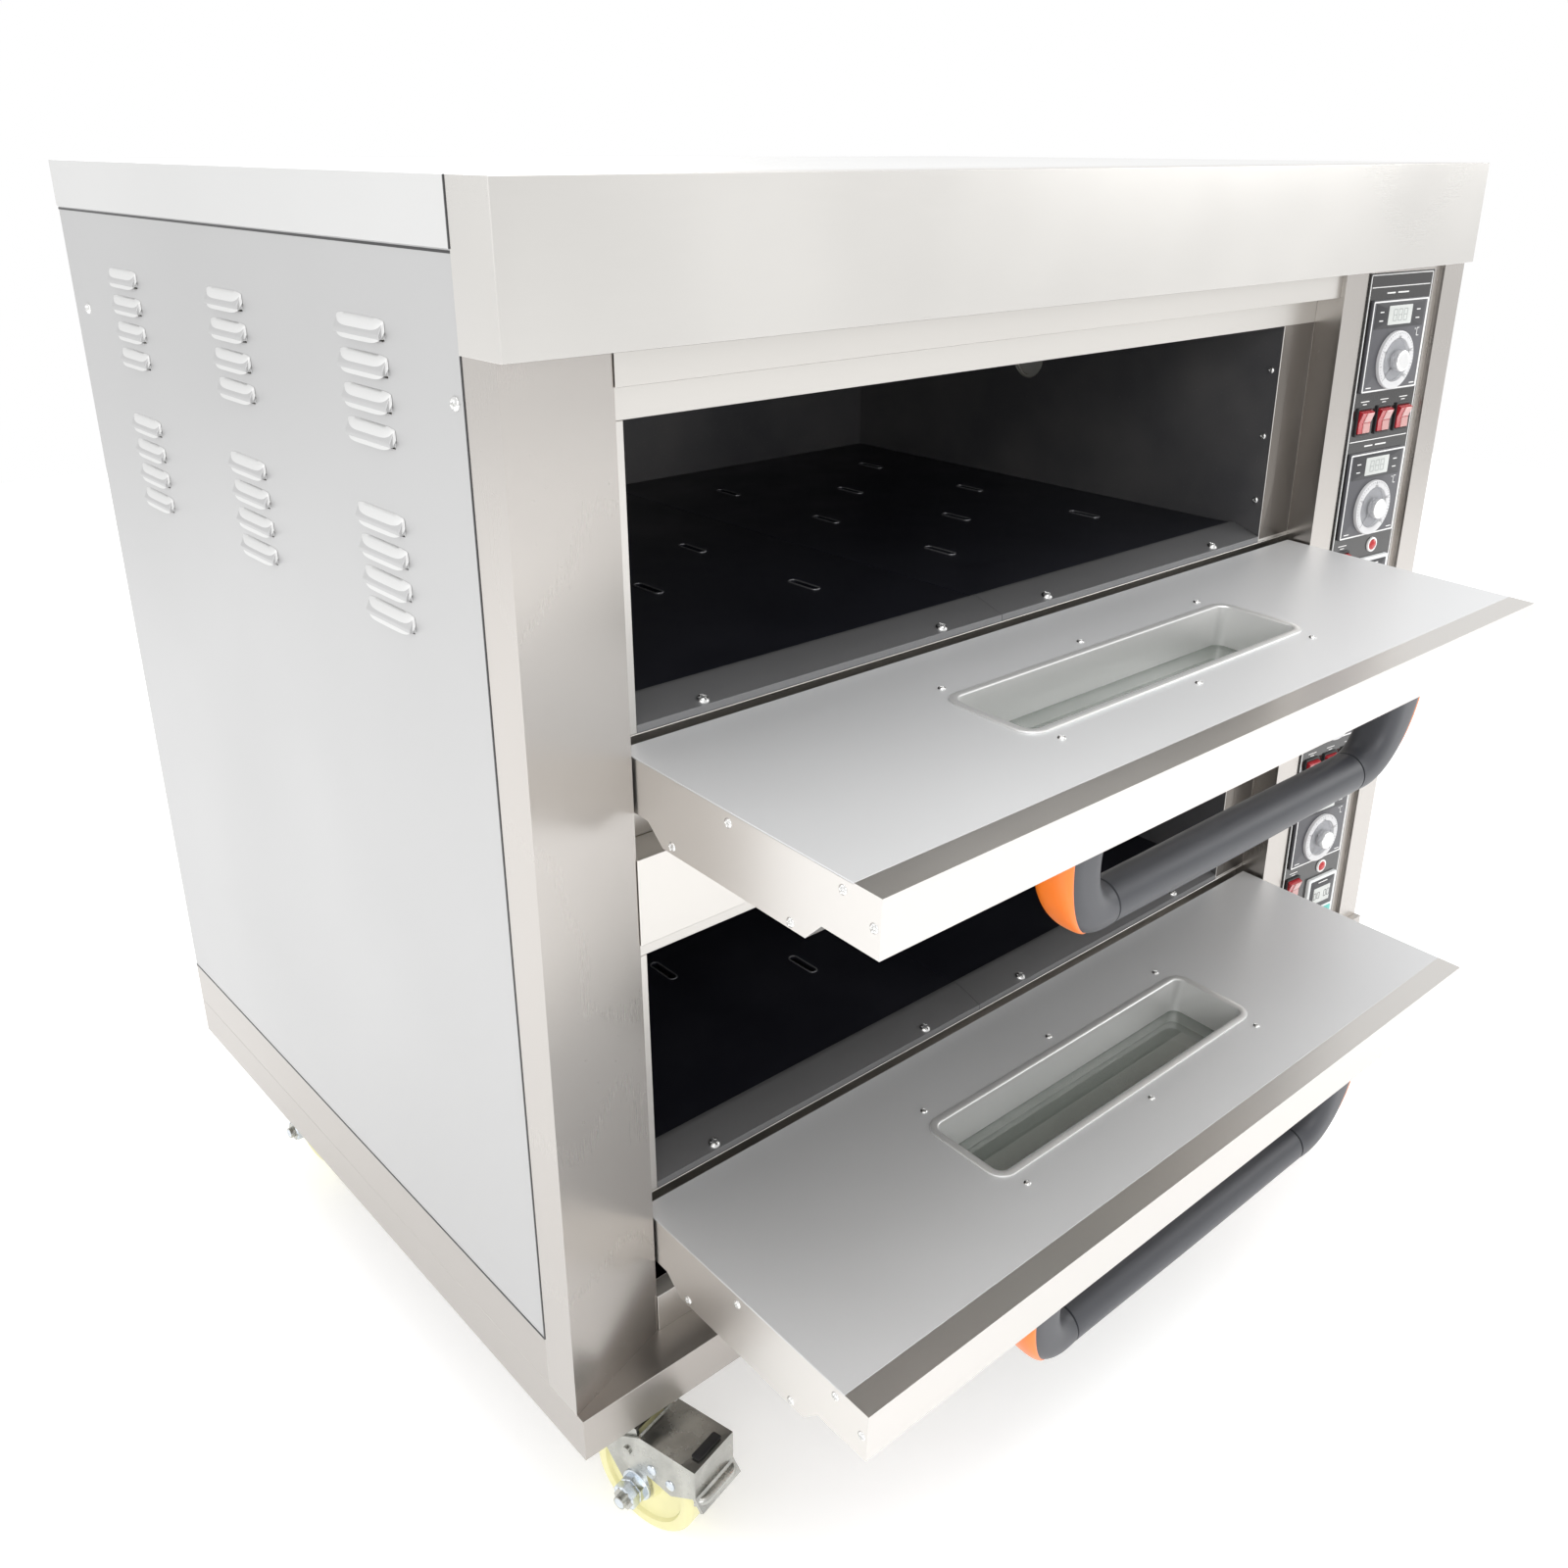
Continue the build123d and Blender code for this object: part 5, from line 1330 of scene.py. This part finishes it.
    def _rockers(self, deck: str, lines: list[Shell]) -> list[Shell]:
        """Builds the rockers, whose levers keep their CAD shape with softened edges.

        Args:
            deck: Which deck they belong to.
            lines: The deck's printed lines, which this adds to.

        Returns:
            The shells of their housings.
        """
        housings = []
        border = frame_profile(2.45 * MM, 22.2 * MM, 0.6 * MM, -20 * MM)
        glare_outline = rounded(12.4 * MM, 10.8 * MM, 1.0 * MM)
        for name in ("left", "middle", "right", "timer"):
            place = self._place(joint(f"{deck}_{name}_rocker_tip")[0], deck)
            housings.append(rings(place, rounded(*self.rocker, 2.0 * MM), border, 40, closed=True))
            eased(f"{deck}_{name}_rocker", self.finishes["rocker_red"], 0.6 * MM)
            crest = leaning(place, self.rocker_tilt).moved(w=self.rocker_crest)
            # On both halves of each rocker a pale pink patch paints the glare, a reflection on the front of the
            # red lens.
            glare_shells = []
            for side in (1, -1):
                half = leaning(crest, side * self.rocker_bend).moved(3.2 * MM, side * 6.0 * MM)
                glare_shells.append(rings(half, glare_outline, [(0.0, -0.5 * MM), (0.0, 0.5 * MM), (0.4 * MM, 0.9 * MM)], 24))
            self._piece(f"{deck}_{name}_rocker_glare_patches", glare_shells, "painted_rocker_glare", "rocker_red",
                        f"{deck}_{name}_rocker")
            edge = place.moved(v=self.rocker[1] / 2)
            lines += [patch(edge, (long, 1.0, 0.4), (0.0, rise), (0.15, 0.05))
                      for rise, long in ((3.0, 7.0), (6.0, 15.0))]
        return housings

    def _timer(self, deck: str, middle: Place, lines: list[Shell]) -> None:
        """The timer: pale frame, dark face, display, and a teal strip of keys."""
        place = middle.moved(21.5 * MM, self.plate[1] / 2 - 353 * MM)
        width, height = self.timer
        front = 4 * MM
        case = [rings(place, rounded(width, height, 3 * MM), softened(front, 1.2 * MM), 48),
                rings(place, rounded(width - 8 * MM, height - 8 * MM, 2 * MM),
                      [(0.5 * MM, -45 * MM), (0.0, -44 * MM), (0.0, 0.0)], 32)]
        top = place.moved(w=front)
        dark = [patch(top, (47, 40, 1.5), (0.0, 14), (0.4, 0.2), 32),
                patch(top, (47, 7, 1.0), (0.0, -32), (0.3, 0.1), 24)]
        key_ring = frame_profile(1.3 * MM, 0.5 * MM, 0.2 * MM)
        keys = [rings(top.moved(w=0.5 * MM), disc(5.2 * MM, (u * MM, -18 * MM)), key_ring, 32, closed=True)
                for u in (-14, 0, 14)]
        figures = lettered("00 00", top.moved(v=12 * MM, w=0.9 * MM), 8.5 * MM, 0.1 * MM)
        lines.append(patch(top, (18, 1.2, 0.5), (0.0, 30), (0.6, 0.1)))
        self._piece(f"{deck}_timer_case", case, "timer_white", "instrument_plastic")
        self._piece(f"{deck}_timer_face", dark, "controller_dark", "black_plastic")
        self._piece(f"{deck}_timer_display", [patch(top, (33, 22, 1.2), (0.0, 12), (0.9, 0.3), 32)],
                    "display_window", "instrument_plastic")
        self._piece(f"{deck}_timer_strip", [patch(top, (47, 17, 1.2), (0.0, -18), (0.5, 0.2), 32)],
                    "timer_teal", "instrument_plastic")
        self._piece(f"{deck}_timer_keys", keys + figures, "controller_dark", "black_plastic")

    def _pilot(self, deck: str, middle: Place) -> None:
        """The pilot lamp: a pale ring round a red domed lens."""
        place = middle.moved(17.5 * MM, self.plate[1] / 2 - 301 * MM)
        ring = [rings(place, disc(8.5 * MM), frame_profile(2.4 * MM, 2.2 * MM, 0.7 * MM), 48, closed=True),
                turned(place, [(6.4 * MM, -25 * MM), (6.4 * MM, 0.5 * MM)], 28)]
        dome = [(6.2 * MM, 0.3 * MM)] + [(6.2 * MM * cos(t), 1.4 * MM + 3.2 * MM * sin(t))
                                         for t in np.linspace(0, 0.94 * pi / 2, 8)]
        self._piece(f"{deck}_pilot_ring", ring, "white_print", "instrument_plastic")
        self._piece(f"{deck}_pilot_lens", [turned(place, dome, 40)], "lamp_red", "rocker_red")


def spoke(hub: Place, turn: float) -> Place:
    """Returns a place at a hub whose across is turned towards its up by an angle."""
    return Place(hub.origin, cos(turn) * hub.across + sin(turn) * hub.up,
                 cos(turn) * hub.up - sin(turn) * hub.across, hub.out)


def leaning(place: Place, degrees: float) -> Place:
    """Returns a place whose up leans towards its out by that many degrees."""
    tip = radians(degrees)
    return Place(place.origin, place.across, cos(tip) * place.up + sin(tip) * place.out,
                 cos(tip) * place.out - sin(tip) * place.up)


def ribbed(place: Place, radius: float, ribs: int, depth: float,
           profile: Sequence[tuple[float, float]]) -> Shell:
    """A turned knob whose side is ribbed: radius = R - inset + depth cos(ribs t)."""
    angles = np.arange(ribs * 4) * 2 * pi / (ribs * 4)
    inset, height = np.asarray(profile, float).T
    wave = depth * np.cos(ribs * angles)
    radii = radius - inset[None, :] + wave[:, None] * (inset[None, :] < 1.0 * MM)
    u, v = radii * np.cos(angles)[:, None], radii * np.sin(angles)[:, None]
    return Shell(capped(place.at(u, v, np.broadcast_to(height, radii.shape))))


@dataclass
class Castor:
    """One castor: pressed fork, nylon wheel, and at the front a brake pedal."""

    corner: str
    finishes: dict[str, bpy.types.Material]
    radius: float = 54 * MM
    width: float = 34 * MM
    cheek: float = 6 * MM               # from the wheel's side to the fork's outer face
    nut_radius: float = 12.2 * MM
    brake_half: float = 24.5 * MM       # half the brake cover's width
    rivets: tuple[tuple[float, float], ...] = ((27 * MM, -5 * MM), (47 * MM, -9 * MM))

    def build(self) -> None:
        """Builds the wheel and dresses the fork and the brake."""
        dress(f"{self.corner}_castor_fork", self.finishes["castor_zinc"])
        self._wheel()
        self._nuts()
        if self.corner.startswith("front"):
            eased(f"{self.corner}_castor_brake", self.finishes["castor_zinc"], 0.9 * MM)
            self._pedal()

    def _axle(self) -> Place:
        """Returns the axle's middle, with out along the axle and up upwards."""
        spot, along = joint(f"{self.corner}_wheel_roll")
        return Place(spot, np.cross(UP, along), UP, along)

    def _wheel(self) -> None:
        """A moulded wheel: crowned tread, dished sides, a rim and a hub with a bore."""
        half, r = self.width / 2, self.radius
        side = [(r - 9 * MM, half - 0.6 * MM), (r - 11.5 * MM, half - 1.0 * MM),
                (r - 13 * MM, half - 4.2 * MM), (r - 16 * MM, half - 5.0 * MM),
                (21 * MM, half - 5.0 * MM), (19 * MM, half - 4.0 * MM), (17.5 * MM, half - 0.2 * MM),
                (16.5 * MM, half + 2.4 * MM), (6.3 * MM, half + 2.4 * MM)]
        tread = [(r - 6.2 * MM + 5.0 * MM * sin(t) + 1.2 * MM * sin(t) ** 4,
                  half - 5.2 * MM * (1 - cos(t)) - 0.2 * MM) for t in np.linspace(0.15, pi / 2, 7)]
        right = side[::-1] + tread
        profile = right + [(radius, -height) for radius, height in right[::-1]]
        wheel = make_piece(f"{self.corner}_wheel", [turned(self._axle(), profile, 88, closed=True)],
                           f"{self.corner}_castor_wheel", self.finishes["wheel_nylon"])
        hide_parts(f"{self.corner}_castor_wheel")

    def _nuts(self) -> None:
        """Washers, chamfered nuts and the bolt's end over the plain axle ends."""
        far = self._axle().moved(w=self.width / 2 + self.cheek)
        near = self._axle().facing(Facing.MINUS_OUT).moved(w=self.width / 2 + self.cheek)
        outline = hexagon(self.nut_radius)
        nut = [(0.0, 0.0), (0.0, 7.6 * MM), (1.3 * MM, 8.7 * MM)]
        head = [(0.0, 0.0), (0.0, 6.0 * MM), (1.3 * MM, 7.2 * MM)]
        washer = [(14.6 * MM, 0.0), (14.6 * MM, 1.4 * MM), (14.0 * MM, 1.8 * MM), (6.0 * MM, 1.8 * MM)]
        bolt_end = [(5.6 * MM, 0.0), (5.6 * MM, 5.4 * MM), (4.6 * MM, 6.2 * MM)]
        shells = [
            rings(near, outline, nut, 60), rings(near.moved(w=9.2 * MM), outline, nut, 60),
            turned(near, washer, 40), turned(near.moved(w=17 * MM), bolt_end, 28),
            turned(far, washer, 40), rings(far, outline, head, 60),
        ]
        make_piece(f"{self.corner}_axle_nuts", shells, f"{self.corner}_castor", self.finishes["nut_zinc"])

    def _pedal(self) -> None:
        """The brake's rolled lip, a black patch on its cover that paints the shade in its slot, and the rivets on
        its sides.
        """
        body = f"{self.corner}_castor_brake"
        pivot, along = joint(f"{self.corner}_brake_press")
        forward = -np.cross(UP, along)
        place = Place(pivot, forward, UP, along)
        roll = np.linspace(-1, 1, 25)
        path = place.at((78.0 - 7.0 * roll ** 8) * MM, (-12.0 + 0 * roll) * MM, self.brake_half * 0.92 * roll)
        rivet = [(5.0 * MM, 0.0), (4.6 * MM, 1.4 * MM), (3.0 * MM, 2.4 * MM), (0.8 * MM, 2.8 * MM)]
        rivets = []
        for side in (-1, 1):
            for u, v in self.rivets:
                spot = place.moved(u, v, side * (self.brake_half + 0.2 * MM))
                rivets.append(turned(spot if side > 0 else spot.facing(Facing.MINUS_OUT), rivet, 28))
        top = Place(place.at(66 * MM, 24.6 * MM, 0.0), forward, along, UP)
        # The slot is a raised black patch: painted shade for the opening.
        slot = rings(top, rounded(9 * MM, 30 * MM, 2 * MM), softened(0.5 * MM, 0.2 * MM), 40)
        make_piece(f"{self.corner}_brake_lip", [tube(path, 4.2 * MM, 18)], body,
                   self.finishes["castor_zinc"])
        make_piece(f"{self.corner}_brake_rivets", rivets, body, self.finishes["nut_zinc"])
        make_piece(f"{self.corner}_brake_slot_painted_shade", [slot], body, self.finishes["black_bezel_and_painted_shadow"])


def main() -> None:
    """Builds the oven's sub-assemblies in order, then the studio."""
    logging.basicConfig(level=logging.INFO, format="%(name)s: %(message)s")
    finishes = make_finishes()
    Cabinet(finishes).build()
    for deck in DECKS:
        Door(deck, finishes).build()
    ControlColumn(finishes).build()
    for corner in ("front_left", "front_right", "rear_left", "rear_right"):
        Castor(corner, finishes).build()
    Studio().build()


if __name__ == "__main__":
    main()
